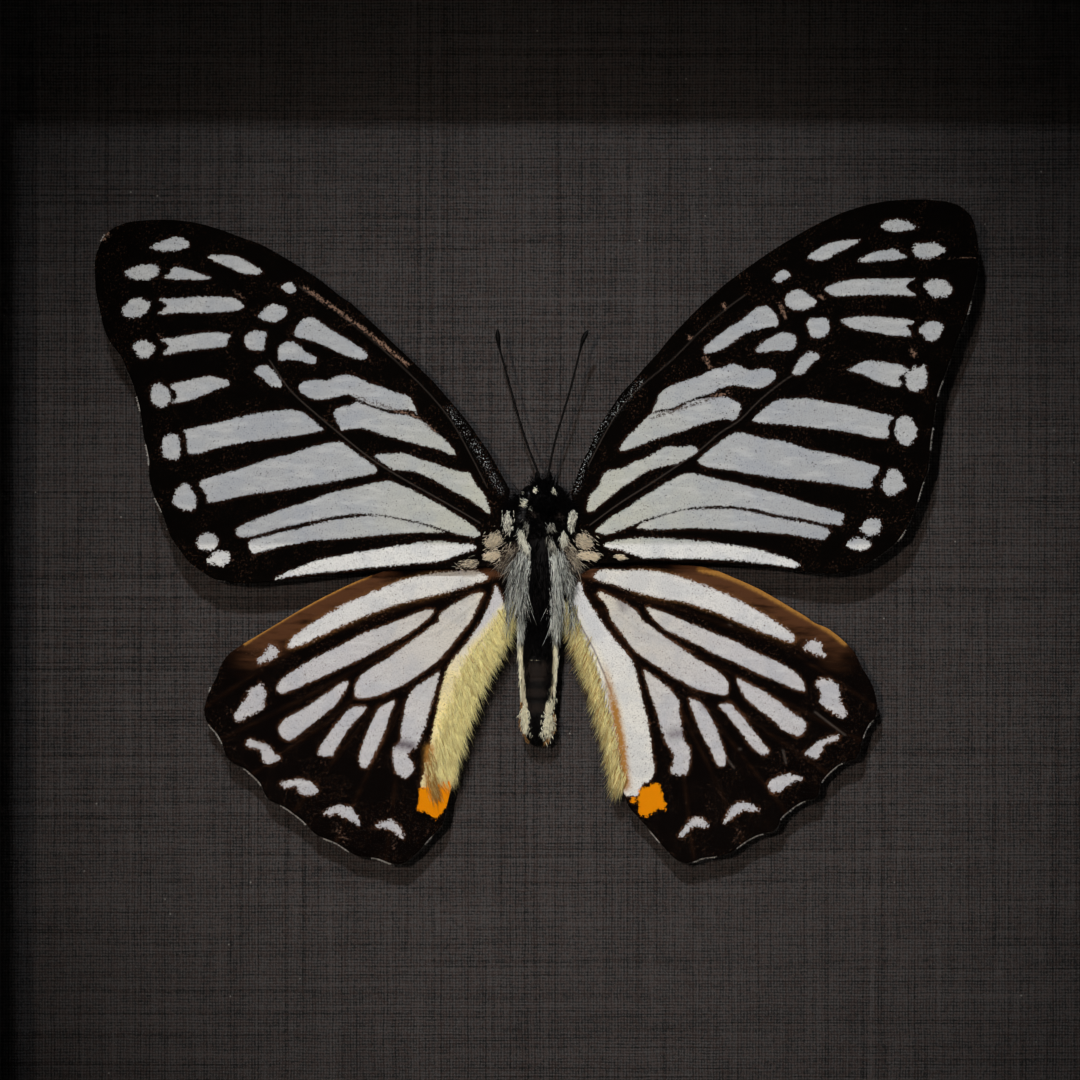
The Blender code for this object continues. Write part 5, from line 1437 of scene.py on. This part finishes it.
def make_thorax():
    """The thorax under black, grey and pale hair, with the hair of the wing bases."""
    bm = bmesh.new()
    spine = [(0.15, 2.55, 3.05), (0.15, -3.5, 3.05), (0.1, -9.8, 3.0)]
    place, t = turned(
        bm, spine, lambda t: 2.7 * np.sin(np.pi * np.clip(t, 0.002, 0.998)) ** 0.55, 40, 46, (0.92, 1)
    )
    thorax_finish = body_finish("body_hair", paint(9, 6, 6), paint(70, 66, 64), paint(150, 148, 142))
    grey = np.clip((np.abs(place[:, 0] + 0.3) - 0.9) * 0.9, 0, 1) * np.clip((-place[:, 1] - 0.5) / 3, 0, 0.8)
    body_mesh(
        "thorax", bm, thorax_finish, "body_hair", "thorax", tone=0 * t, grey=grey, eye=0 * t
    )
    count = 2600
    angle = rng.uniform(0, np.pi, count)
    share = rng.uniform(0.03, 0.97, count)
    r = 2.7 * np.sin(np.pi * share) ** 0.55
    at = np.stack([0.15 + np.cos(angle) * r * 0.9, 2.5 - share * 12.2, 3.05 + np.sin(angle) * r * 0.97], 1)
    way = np.stack([np.cos(angle) * 0.45, np.full(count, -1.0), np.sin(angle) * 0.5], 1)
    way[share < 0.2, 1] += 1.1
    way += rng.normal(0, 0.22, (count, 3))
    hair(
        "thorax_fuzz",
        [(at, way, rng.uniform(0.5, 1.25, count), rng.uniform(0.035, 0.06, count),
          np.clip(rng.normal(0.22, 0.2, count), 0, 1), rng.normal(0, 0.1, (count, 3)))],
        black_hair, "body_hair",
    )
    hair(
        "thorax_side_hair",
        [
            tuft(
                [(-1.5, -1.0, 5.5), (-1.7, -4.0, 5.5), (-1.75, -6.5, 5.1)], 420, 0.3,
                [(-0.22, -1, 0.1), (-0.02, -1, -0.05)], 2.3, 0.034, 0.48, 0.16, mix=0.32,
            ),
            tuft(
                [(1.5, -1.0, 5.5), (1.6, -4.0, 5.5), (1.6, -7.5, 5.0)], 460, 0.3,
                [(0.18, -1, 0.1), (0.06, -1, -0.05)], 2.4, 0.034, 0.62, 0.16, mix=0.3,
            ),
            tuft(
                [(-2.1, -1.4, 5.1), (-2.5, -3.4, 4.9)], 190, 0.25, [(-0.5, -1, 0.1), (-0.2, -1, 0)],
                1.9, 0.03, 0.42, 0.25, mix=0.32,
            ),
            tuft(
                [(2.1, -1.4, 5.1), (2.6, -3.6, 4.9)], 190, 0.25, [(0.5, -1, 0.1), (0.3, -1, 0)], 1.9,
                0.03, 0.42, 0.25, mix=0.32,
            ),
            tuft(
                [(-1.7, -6.5, 4.9), (-1.95, -9.5, 4.4)], 240, 0.14, [(-0.06, -1, 0), (0, -1, -0.1)],
                1.3, 0.03, 0.75, 0.14,
            ),
            tuft(
                [(1.6, -7.5, 4.8), (1.6, -9.5, 4.5)], 200, 0.14, [(0.08, -1, 0), (0, -1, -0.1)], 1.3,
                0.03, 0.75, 0.14,
            ),
            tuft(
                [(-2.9, -4.0, 4.7), (-3.3, -8.5, 4.2)], 150, 0.16, [(-0.1, -1, 0)], 1.7, 0.025, 0.4,
                0.2, mix=0.3,
            ),
            tuft(
                [(2.9, -4.0, 4.7), (3.2, -8.5, 4.2)], 150, 0.16, [(0.1, -1, 0)], 1.7, 0.025, 0.4, 0.2,
                mix=0.3,
            ),
        ],
        grey_hair, "body_hair",
    )
    hair(
        "thorax_tufts",
        [
            tuft(
                [(-1.85, 0.9, 5.3), (-1.75, 0.1, 5.5), (-1.25, -0.9, 5.8)], 210, 0.15,
                [(-0.25, -0.7, 0.5), (0.1, -1, 0.3)], 0.75, 0.032, 0.85, 0.2,
            ),
            tuft(
                [(2.3, 0.7, 5.1), (2.4, -0.1, 5.1)], 190, 0.16, [(0.2, -0.7, 0.5), (0.05, -1, 0.3)],
                0.75, 0.032, 0.88, 0.2,
            ),
            tuft([(0.95, 1.6, 5.6), (1.2, 1.1, 5.6)], 60, 0.2, [(0.2, -0.7, 0.5)], 0.7, 0.028, 0.42, 0.25),
            tuft([(0.8, 0.2, 5.8), (1.5, -1, 5.7)], 110, 0.16, [(0.1, -1, 0.3)], 0.8, 0.028, 0.4, 0.2),
            tuft([(-1.5, 1.8, 5.4), (-1.3, 1.2, 5.6)], 30, 0.2, [(-0.2, -0.7, 0.5)], 0.7, 0.025, 0.3, 0.25),
        ],
        pale_hair, "body_hair",
    )
    hair(
        "shoulder_fuzz",
        [
            tuft([(side * 1.9 + 0.1, 4.3, 4.6), (side * 2.6, 2.6, 5.0), (side * 2.8, 0.8, 5.1)], 520, 0.28,
                 [(side * 0.5, 0.25, 0.5), (side * 0.7, -0.7, 0.3)], 1.1, 0.04, 0.2, 0.3)
            for side in (-1, 1)
        ] + [
            tuft(
                [(side * 2.7, 3.6, 4.6), (side * 2.9, 1.2, 4.9)], 260, 0.2, [(side * 0.6, 0.1, 0.2)],
                0.9, 0.04, 0.15, 0.25,
            )
            for side in (-1, 1)
        ],
        black_hair, "body_hair",
    )
    cream_hair = hair_finish("wing_base_hair", paint(66, 46, 34), paint(252, 238, 212), 0.2)
    hair(
        "wing_base_hair",
        [
            tuft(
                [(-4.1, 0.25, 5.3), (-4.9, -0.25, 5.2)], 620, 0.33, [(-0.7, -0.5, 0.3)], 0.36, 0.034,
                0.7, 0.2, mix=0.16,
            ),
            tuft(
                [(-4.1, -1.45, 5.2), (-5.2, -1.65, 5.2)], 460, 0.22, [(-0.9, -0.3, 0.3)], 0.36, 0.034,
                0.9, 0.16,
            ),
            tuft(
                [(-6.3, -2.3, 5.15), (-7.9, -2.5, 5.15)], 240, 0.24, [(-1, -0.1, 0.2)], 0.35, 0.03,
                0.6, 0.3, mix=0.4,
            ),
            tuft(
                [(3.9, 0.15, 5.3), (4.7, -0.3, 5.2)], 600, 0.33, [(0.7, -0.5, 0.3)], 0.36, 0.034, 0.7,
                0.2, mix=0.16,
            ),
            tuft(
                [(3.9, -1.5, 5.2), (5.6, -1.65, 5.2)], 520, 0.19, [(0.9, -0.25, 0.3)], 0.36, 0.034,
                0.9, 0.16,
            ),
            tuft(
                [(7.5, -1.6, 5.25), (8.3, -1.78, 5.25)], 150, 0.11, [(1, -0.2, 0.2)], 0.35, 0.032,
                0.85, 0.25,
            ),
            tuft(
                [(-2.6, -0.6, 5.1), (-3.7, -2.4, 4.9)], 200, 0.4, [(-0.5, -0.9, 0.1), (-0.6, -1, 0)],
                1.3, 0.022, 0.35, 0.4, mix=0.33,
            ),
            tuft(
                [(2.6, -0.6, 5.1), (3.7, -2.5, 4.9)], 200, 0.4, [(0.5, -0.9, 0.1), (0.6, -1, 0)], 1.3,
                0.022, 0.35, 0.4, mix=0.33,
            ),
        ],
        cream_hair, "body_hair",
    )
    hair(
        "tegulae",
        [
            tuft(
                [(-3.3, 2.6, 5.7), (-3.2, 1.9, 5.7), (-3.2, 1.2, 5.6)], 360, 0.22,
                [(-0.1, -0.8, 0.3), (0, -1, 0.2)], 0.4, 0.046, 0.66, 0.15, mix=0.3,
            ),
            tuft(
                [(3.35, 2.8, 5.7), (3.2, 2.0, 5.7), (3.15, 1.1, 5.6)], 340, 0.17,
                [(0, -0.8, 0.3), (-0.1, -1, 0.2)], 0.4, 0.046, 0.66, 0.15, mix=0.3,
            ),
        ],
        pale_hair, "body_hair",
    )


def abdomen_radius(t):
    """Rounded at both ends, and drawn in between the rings."""
    r = 1.86 * np.clip(1 - (1 - np.clip(t / 0.12, 0, 1)) ** 2, 0.03, 1) ** 0.5
    r = r * (1 - 0.16 * np.clip(t, 0, 1) ** 1.6)
    r = r * np.clip(1 - np.clip((t - 0.78) / 0.22, 0, 1) ** 2.2, 0.03, 1) ** 0.5
    return r * (1 - 0.05 * np.exp(-((((t * 5.1 + 0.1) % 1) - 0.08) / 0.06) ** 2))


def make_abdomen():
    """The ringed abdomen, with a cream line of hair along each side."""
    bm = bmesh.new()
    spine = [(-0.2, -9.5, 3.0), (-0.25, -14, 3.0), (-0.2, -17, 2.9), (-0.32, -20.6, 2.8)]
    place, t = turned(bm, spine, abdomen_radius, 36, 120)
    spots = place[:, :2]
    LEFT_LINE = [
        (-1.85, -8), (-2, -10), (-1.95, -12), (-1.8, -14), (-1.65, -15.5), (-1.5, -16.5), (-1.6, -18),
        (-1.55, -19.2),
    ]
    RIGHT_LINE = [
        (1.4, -8), (1.5, -10), (1.5, -12), (1.35, -14), (1.1, -15), (0.9, -16), (0.7, -17), (1.0, -18),
        (1.1, -19), (0.8, -19.8),
    ]
    tone = np.maximum(bell(to_line(spots, LEFT_LINE), 0.26), bell(to_line(spots, RIGHT_LINE), 0.24))
    tone = np.maximum(tone, 0.5 * bell(to_line(spots, [(-1.1, -12.0), (0.6, -12.0)]), 0.09))
    tone = np.maximum(tone, 0.35 * bell(to_line(spots, [(-1.7, -14.4), (0.9, -14.4)]), 0.12))
    for cream in (
        [(-1.55, -17.2), (-1.5, -19.0)], [(1.25, -16.2), (0.95, -17.0)], [(1.1, -18.2), (0.9, -19.3)],
    ):
        tone = np.maximum(tone, 0.9 * bell(to_line(spots, cream), 0.34))
    tone *= 1 - bell(to_line(spots, [(-0.45, -18.6), (-0.35, -20.8)]), 0.55)
    grey = 0.5 * np.clip((-11.6 - place[:, 1]) / 0.8, 0, 1)
    for dark_bar in (-14.5, -16.0, -17.6):
        grey *= 1 - bell(place[:, 1] - dark_bar, 0.3)
    grey *= np.clip((place[:, 1] + 19.0) / 1.2, 0.15, 1)
    body_mesh(
        "abdomen", bm,
        body_finish("abdomen_scales", paint(6, 4, 3), paint(46, 36, 30), paint(206, 196, 168)),
        "abdomen_scales", "abdomen", tone=tone, grey=grey, eye=0 * t,
    )
    hair(
        "abdomen_hair",
        [
            tuft(
                [(-1.85, -8, 3.8), (-2.0, -11.6, 3.7)], 330, 0.1, [(-0.12, -1, 0.1), (0.06, -1, 0)],
                0.8, 0.03, 0.97, 0.1,
            ),
            tuft([(-2.0, -11.6, 3.7), (-1.85, -16, 3.5)], 230, 0.08, [(0.06, -1, 0)], 0.7, 0.028, 0.9, 0.12),
            tuft(
                [(1.5, -8, 3.9), (1.6, -12, 3.8)], 330, 0.1, [(0.12, -1, 0.1), (-0.1, -1, 0)], 0.8,
                0.03, 0.97, 0.1,
            ),
            tuft([(1.6, -12, 3.8), (1.35, -15.6, 3.7)], 200, 0.08, [(-0.1, -1, 0)], 0.7, 0.028, 0.9, 0.12),
            tuft(
                [(-1.5, -16.8, 4.2), (-1.3, -18.9, 4.1)], 360, 0.27, [(-0.1, -1, 0.1)], 0.45, 0.036,
                0.95, 0.2,
            ),
            tuft([(1.1, -16.0, 4.3), (0.85, -16.9, 4.3)], 150, 0.24, [(0, -1, 0.1)], 0.45, 0.036, 0.95, 0.2),
            tuft(
                [(0.85, -17.5, 4.4), (0.65, -19.3, 4.2)], 400, 0.32, [(0.1, -1, 0.1)], 0.45, 0.036,
                0.95, 0.2,
            ),
        ],
        cream_line_hair, "abdomen_scales",
    )
    hair(
        "abdomen_tip_hair",
        [
            tuft(
                [(-1.8, -16.2, 3.7), (-1.85, -18.4, 3.6), (-1.3, -20.0, 3.4)], 260, 0.09,
                [(-0.3, -1, 0.1), (0.3, -1, 0)], 0.4, 0.03, 0.5, 0.2, mix=0.3,
            ),
            tuft(
                [(1.35, -17.2, 3.7), (1.45, -18.8, 3.6), (0.5, -20.3, 3.3)], 260, 0.09,
                [(0.3, -1, 0.1), (-0.3, -1, 0)], 0.4, 0.03, 0.5, 0.2, mix=0.3,
            ),
        ],
        hair_finish("abdomen_tip_hair", paint(70, 40, 22), paint(226, 176, 110), 0.15), "abdomen_scales",
    )
    hair(
        "abdomen_fuzz",
        [
            tuft([(-1.2, -9, 4.6), (-1.1, -16, 4.4)], 300, 0.25, [DOWN], 0.6, 0.028, 0.3, 0.15),
            tuft([(0.9, -9, 4.6), (0.8, -16, 4.4)], 300, 0.22, [DOWN], 0.6, 0.028, 0.3, 0.15),
            tuft([(-0.2, -9, 4.9), (-0.2, -11.2, 4.85)], 420, 0.5, [DOWN], 0.7, 0.028, 0.2, 0.15),
            tuft([(-0.5, -17.6, 4.6), (-0.4, -19.6, 4.2)], 300, 0.26, [DOWN], 0.45, 0.03, 0.2, 0.2),
        ],
        black_hair, "abdomen_scales",
    )


def make_head():
    """The head with its eyes and palps, hairy and white-spotted."""
    bm = bmesh.new()
    turned(
        bm, [(0.3, 2.6, 3.3), (0.35, 4.4, 3.4), (0.4, 6.1, 3.4)],
        lambda t: 1.5 * np.sin(np.pi * np.clip(t, 0.004, 0.996)) ** 0.5, 32, 30,
    )
    eyes = set()
    for x in (-1.05, 1.7):
        at = world(np.array([(x, 4.35)]), 3.5)[0]
        made = bmesh.ops.create_uvsphere(
            bm, u_segments=28, v_segments=20, radius=1.02 * MM,
            matrix=Matrix.Translation(at) @ Matrix.Diagonal((0.86, 1, 1.12, 1)),
        )["verts"]
        eyes.update(made)
    for x in (-0.25, 0.85):
        turned(
            bm, [(x, 5.4, 2.8), (x * 1.05, 6.2, 2.7), (x * 1.1, 6.9, 2.9)],
            lambda t: 0.3 * np.sin(np.pi * np.clip(t, 0.01, 0.99)) ** 0.4, 14, 12,
        )
    eye = np.array([float(v in eyes) for v in bm.verts])
    body_mesh(
        "head", bm, body_finish("head_cuticle", paint(7, 7, 8), paint(36, 33, 32), paint(150, 146, 138)),
        "head_cuticle", "head", tone=0 * eye, grey=0.1 + 0 * eye, eye=eye,
    )
    hair(
        "head_hair",
        [
            tuft(
                [(0.3, 3.0, 4.8), (0.35, 5.6, 4.7)], 700, 0.45, [(0, -0.5, 1), (0, 0.7, 0.9)], 0.5,
                0.04, 0.15, 0.4,
            ),
            tuft(
                [(-0.9, 3.2, 4.4), (-0.3, 5.9, 4.2)], 240, 0.3, [(-0.6, 0, 0.7), (-0.3, 1, 0.3)], 0.6,
                0.04, 0.12, 0.3,
            ),
            tuft(
                [(1.5, 3.2, 4.4), (0.9, 5.9, 4.2)], 240, 0.3, [(0.6, 0, 0.7), (0.3, 1, 0.3)], 0.6,
                0.04, 0.12, 0.3,
            ),
        ],
        black_hair, "head_cuticle",
    )
    hair(
        "head_spots",
        [
            tuft(
                [(-0.45, 5.0, 5.0), (-0.5, 4.8, 5.0)], 130, 0.11, [(-0.1, 0.2, 0.9)], 0.3, 0.042, 0.9,
                0.25,
            ),
            tuft(
                [(1.32, 5.05, 4.8), (1.45, 4.55, 4.8)], 110, 0.08, [(0.1, 0.2, 0.9)], 0.3, 0.042, 0.8,
                0.25,
            ),
            tuft(
                [(-1.62, 3.85, 4.9), (-1.62, 3.55, 4.9)], 200, 0.17, [(-0.3, 0.1, 0.8)], 0.3, 0.042,
                0.9, 0.25,
            ),
            tuft(
                [(-1.65, 4.8, 4.5), (-1.65, 4.5, 4.5)], 22, 0.05, [(-0.4, 0.3, 0.6)], 0.25, 0.03, 0.35,
                0.25,
            ),
            tuft([(-0.9, 3.15, 5.0), (-0.9, 3.0, 5.0)], 26, 0.09, [(-0.1, 0.1, 0.9)], 0.3, 0.03, 0.4, 0.25),
        ],
        pale_hair, "head_cuticle",
    )


ANTENNA_RINGS = 34


def antenna_radius(t):
    """A thin ringed stalk with a club near its end, in mm."""
    r = 0.125 - 0.02 * t + 0.15 * np.exp(-(((t - 0.945) / 0.05) ** 2))
    r = r * np.clip(1 - np.clip((t - 0.97) / 0.03, 0, 1) ** 2, 0.05, 1) ** 0.5
    return r * (1 - 0.10 * np.cos(t * math.tau * ANTENNA_RINGS) ** 8)


def make_antennae():
    """Two clubbed antennae that rise a little from the head."""
    antenna = body_finish("antenna_cuticle", paint(5, 4, 4), paint(26, 20, 18), paint(90, 76, 64))
    for name, line in (
        ("antenna_left", [
            (-0.1, 6.1), (-0.3, 7), (-1, 8.8), (-1.6, 10.5), (-2.2, 12.5), (-2.9, 15), (-3.3, 16.5),
            (-4, 19), (-4.2, 20.2), (-4.25, 21.1),
        ]),
        ("antenna_right", [
            (0.8, 6.2), (1, 7.5), (1.3, 9), (1.7, 10.6), (2.3, 12.6), (2.9, 14.6), (3.4, 16.5),
            (3.9, 18.5), (4.3, 20), (4.8, 21),
        ]),
    ):
        lift = np.linspace(4.4, 6.2, len(line))
        path = rounded([(x, z, l) for (x, z), l in zip(line, lift)], False)
        bm = bmesh.new()
        _, t = turned(bm, path, antenna_radius, 12, 170)
        body_mesh(
            name, bm, antenna, "antenna_cuticle", name,
            tone=0.12 * np.cos(t * math.tau * ANTENNA_RINGS) ** 8, grey=0.35 - 0.35 * (t > 0.88),
            eye=0.3 + 0 * t,
        )


def make_inner_margin_hair():
    """Rows of yellow hair along the hindwings' inner edges, and one dark tuft at the left."""
    yellow_hair = hair_finish("inner_margin_hair", paint(180, 134, 64), paint(255, 246, 184), 0.15)
    left = [(-3.2, -6.4), (-3.7, -9), (-4.9, -11.5), (-6.1, -14), (-7.2, -17), (-8.1, -20), (-9, -23.4)]
    right = [
        (2.9, -6), (3.7, -9), (4.7, -11.8), (5.6, -14.5), (6.3, -17.2), (7, -20), (7.6, -23), (7.9, -24.2),
    ]
    groups = []
    for line, side, reach, count, tone, mix in (
        (left, 1, 2.3, 330, 0.92, 0.25),
        (right, -1, 0.5, 290, 0.74, 0.34),
    ):
        ways = [(side * 0.5, -1, 0.06), (side * 0.26, -1, 0.04)]
        bend = (side * 0.08, -0.1, -0.08)
        for shift in np.linspace(0.05, reach, 9):
            row = [(x - side * (shift * min(1, (-z - 6) / 5) - 0.1), z, 4.05) for x, z in line]
            spread = 0.15 + 0.14 * shift / reach
            groups.append(tuft(row, count, spread, ways, 1.6, 0.03, tone, 0.12, bend, mix))
    dark_tuft = [(-11.0, -21.2, 4.05), (-10.9, -23.6, 4.05), (-10.6, -25.4, 4.05)]
    ways = [(0.28, -1, 0.04), (0.38, -1, 0.04)]
    groups.append(tuft(dark_tuft, 330, 0.24, ways, 1.4, 0.03, 0.1, 0.1, mix=0.25))
    hair("inner_margin_hair", groups, yellow_hair, "hindwing_scales")


make_thorax()
make_abdomen()
make_head()
make_antennae()
make_inner_margin_hair()

# ---------------------------------------------------------------- the frame and box

FRAME_FINISHES = {
    "rail": plain_finish(
        "frame_wood", paint(20, 19, 20), paint(30, 28, 28), 260, 0.38, 0.00004, (1, 1, 1),
        Coat_Weight=0.25, Coat_Roughness=0.25,
    ),
    "spacer": plain_finish("box_lining", paint(20, 20, 22), paint(27, 27, 29), 1500, 0.82),
    "backing_board": plain_finish(
        "backing_board", paint(100, 73, 48), paint(121, 91, 61), 1700, 0.78, 0.00004
    ),
    "board_tab": plain_finish(
        "tab_steel", paint(150, 152, 154), paint(120, 122, 126), 1400, 0.36, 0.00001, (1, 1, 0.1),
        Metallic=1.0,
    ),
    "sawtooth_hanger": plain_finish(
        "hanger_plate", paint(170, 160, 130), paint(140, 132, 108), 1200, 0.34, 0.00001, Metallic=1.0
    ),
    "hanger_nail": plain_finish(
        "hanger_nail", paint(160, 152, 130), paint(130, 122, 104), 1500, 0.36, 0.00001, Metallic=1.0
    ),
    "bumper": plain_finish("bumper_rubber", paint(34, 33, 33), paint(44, 43, 42), 1200, 0.66),
    "glazing": glass_finish(),
    "backing_card": card_finish(),
}
for name, node in frame["nodes"].items():
    for start, material in FRAME_FINISHES.items():
        if name.startswith(start):
            node.data.materials.clear()
            node.data.materials.append(material)

# ---------------------------------------------------------------- room, lights and camera


def make_floor():
    """A wide pale floor under the object, which is no part of it."""
    mesh = bpy.data.meshes.new("floor")
    bm = bmesh.new()
    bmesh.ops.create_grid(bm, x_segments=1, y_segments=1, size=3)
    bm.to_mesh(mesh)
    bm.free()
    floor = bpy.data.objects.new("floor", mesh)
    bpy.context.scene.collection.objects.link(floor)
    mesh.materials.append(
        plain_finish("studio_floor", paint(196, 194, 190), paint(202, 200, 196), 3, 0.85, 0.0001)
    )


def dim_room():
    """A faint even light from the room itself."""
    room = bpy.data.worlds.new("room")
    bpy.context.scene.world = room
    room.use_nodes = True
    background = room.node_tree.nodes["Background"]
    background.inputs["Color"].default_value = (0.9, 0.95, 1.0, 1)
    background.inputs["Strength"].default_value = 0.010


def lamp(name, kind, place, target, power, colour=(1, 1, 1)):
    """Hangs a lamp that faces its target."""
    data = bpy.data.lights.new(name, kind)
    data.energy, data.color = power, colour
    made = bpy.data.objects.new(name, data)
    bpy.context.scene.collection.objects.link(made)
    made.location = place
    made.rotation_euler = (Vector(target) - Vector(place)).to_track_quat("-Z", "Y").to_euler()
    return data


def spot(name, place, target, power, radius, angle, colour):
    """A lamp whose beam fades out from its middle, this many degrees wide."""
    data = lamp(name, "SPOT", place, target, power, colour)
    data.shadow_soft_size = radius
    data.spot_size, data.spot_blend = math.radians(angle), 1.0


def soft(name, place, target, power, width):
    """A wide round panel of light."""
    data = lamp(name, "AREA", place, target, power)
    data.shape, data.size = "DISK", width


def set_camera():
    """Straight in front of the specimen, and square to the card."""
    sensor, view_width = 36, 108
    camera = bpy.data.objects.new("camera", bpy.data.cameras.new("camera"))
    bpy.context.scene.collection.objects.link(camera)
    bpy.context.scene.camera = camera
    camera.location = (MIDDLE[0], CARD - EYE * MM, MIDDLE[1])
    camera.rotation_euler = (math.pi / 2, 0, 0)
    camera.data.sensor_width = sensor
    camera.data.lens = sensor * EYE / view_width
    camera.data.clip_start = 0.01


make_floor()
dim_room()
spot("key", (-0.08, -0.62, 0.41), (0.002, 0.0, 0.066), 13.6, 0.016, 12.7, (0.90, 0.94, 1.0))
spot("fill", (-0.135, -0.72, 0.13), (-0.002, 0.0, 0.057), 9.6, 0.014, 12.3, (1.0, 0.84, 0.74))
soft("left_soft", (-1.3, -0.5, 0.9), (0, 0, 0.05), 10, 0.9)
soft("right_soft", (1.4, 0.2, 0.8), (0, 0, 0.05), 12, 0.9)
soft("back_soft", (-0.6, 1.5, 1.0), (0, 0, 0.07), 26, 1.0)
set_camera()
bpy.context.scene.view_settings.view_transform = "Standard"
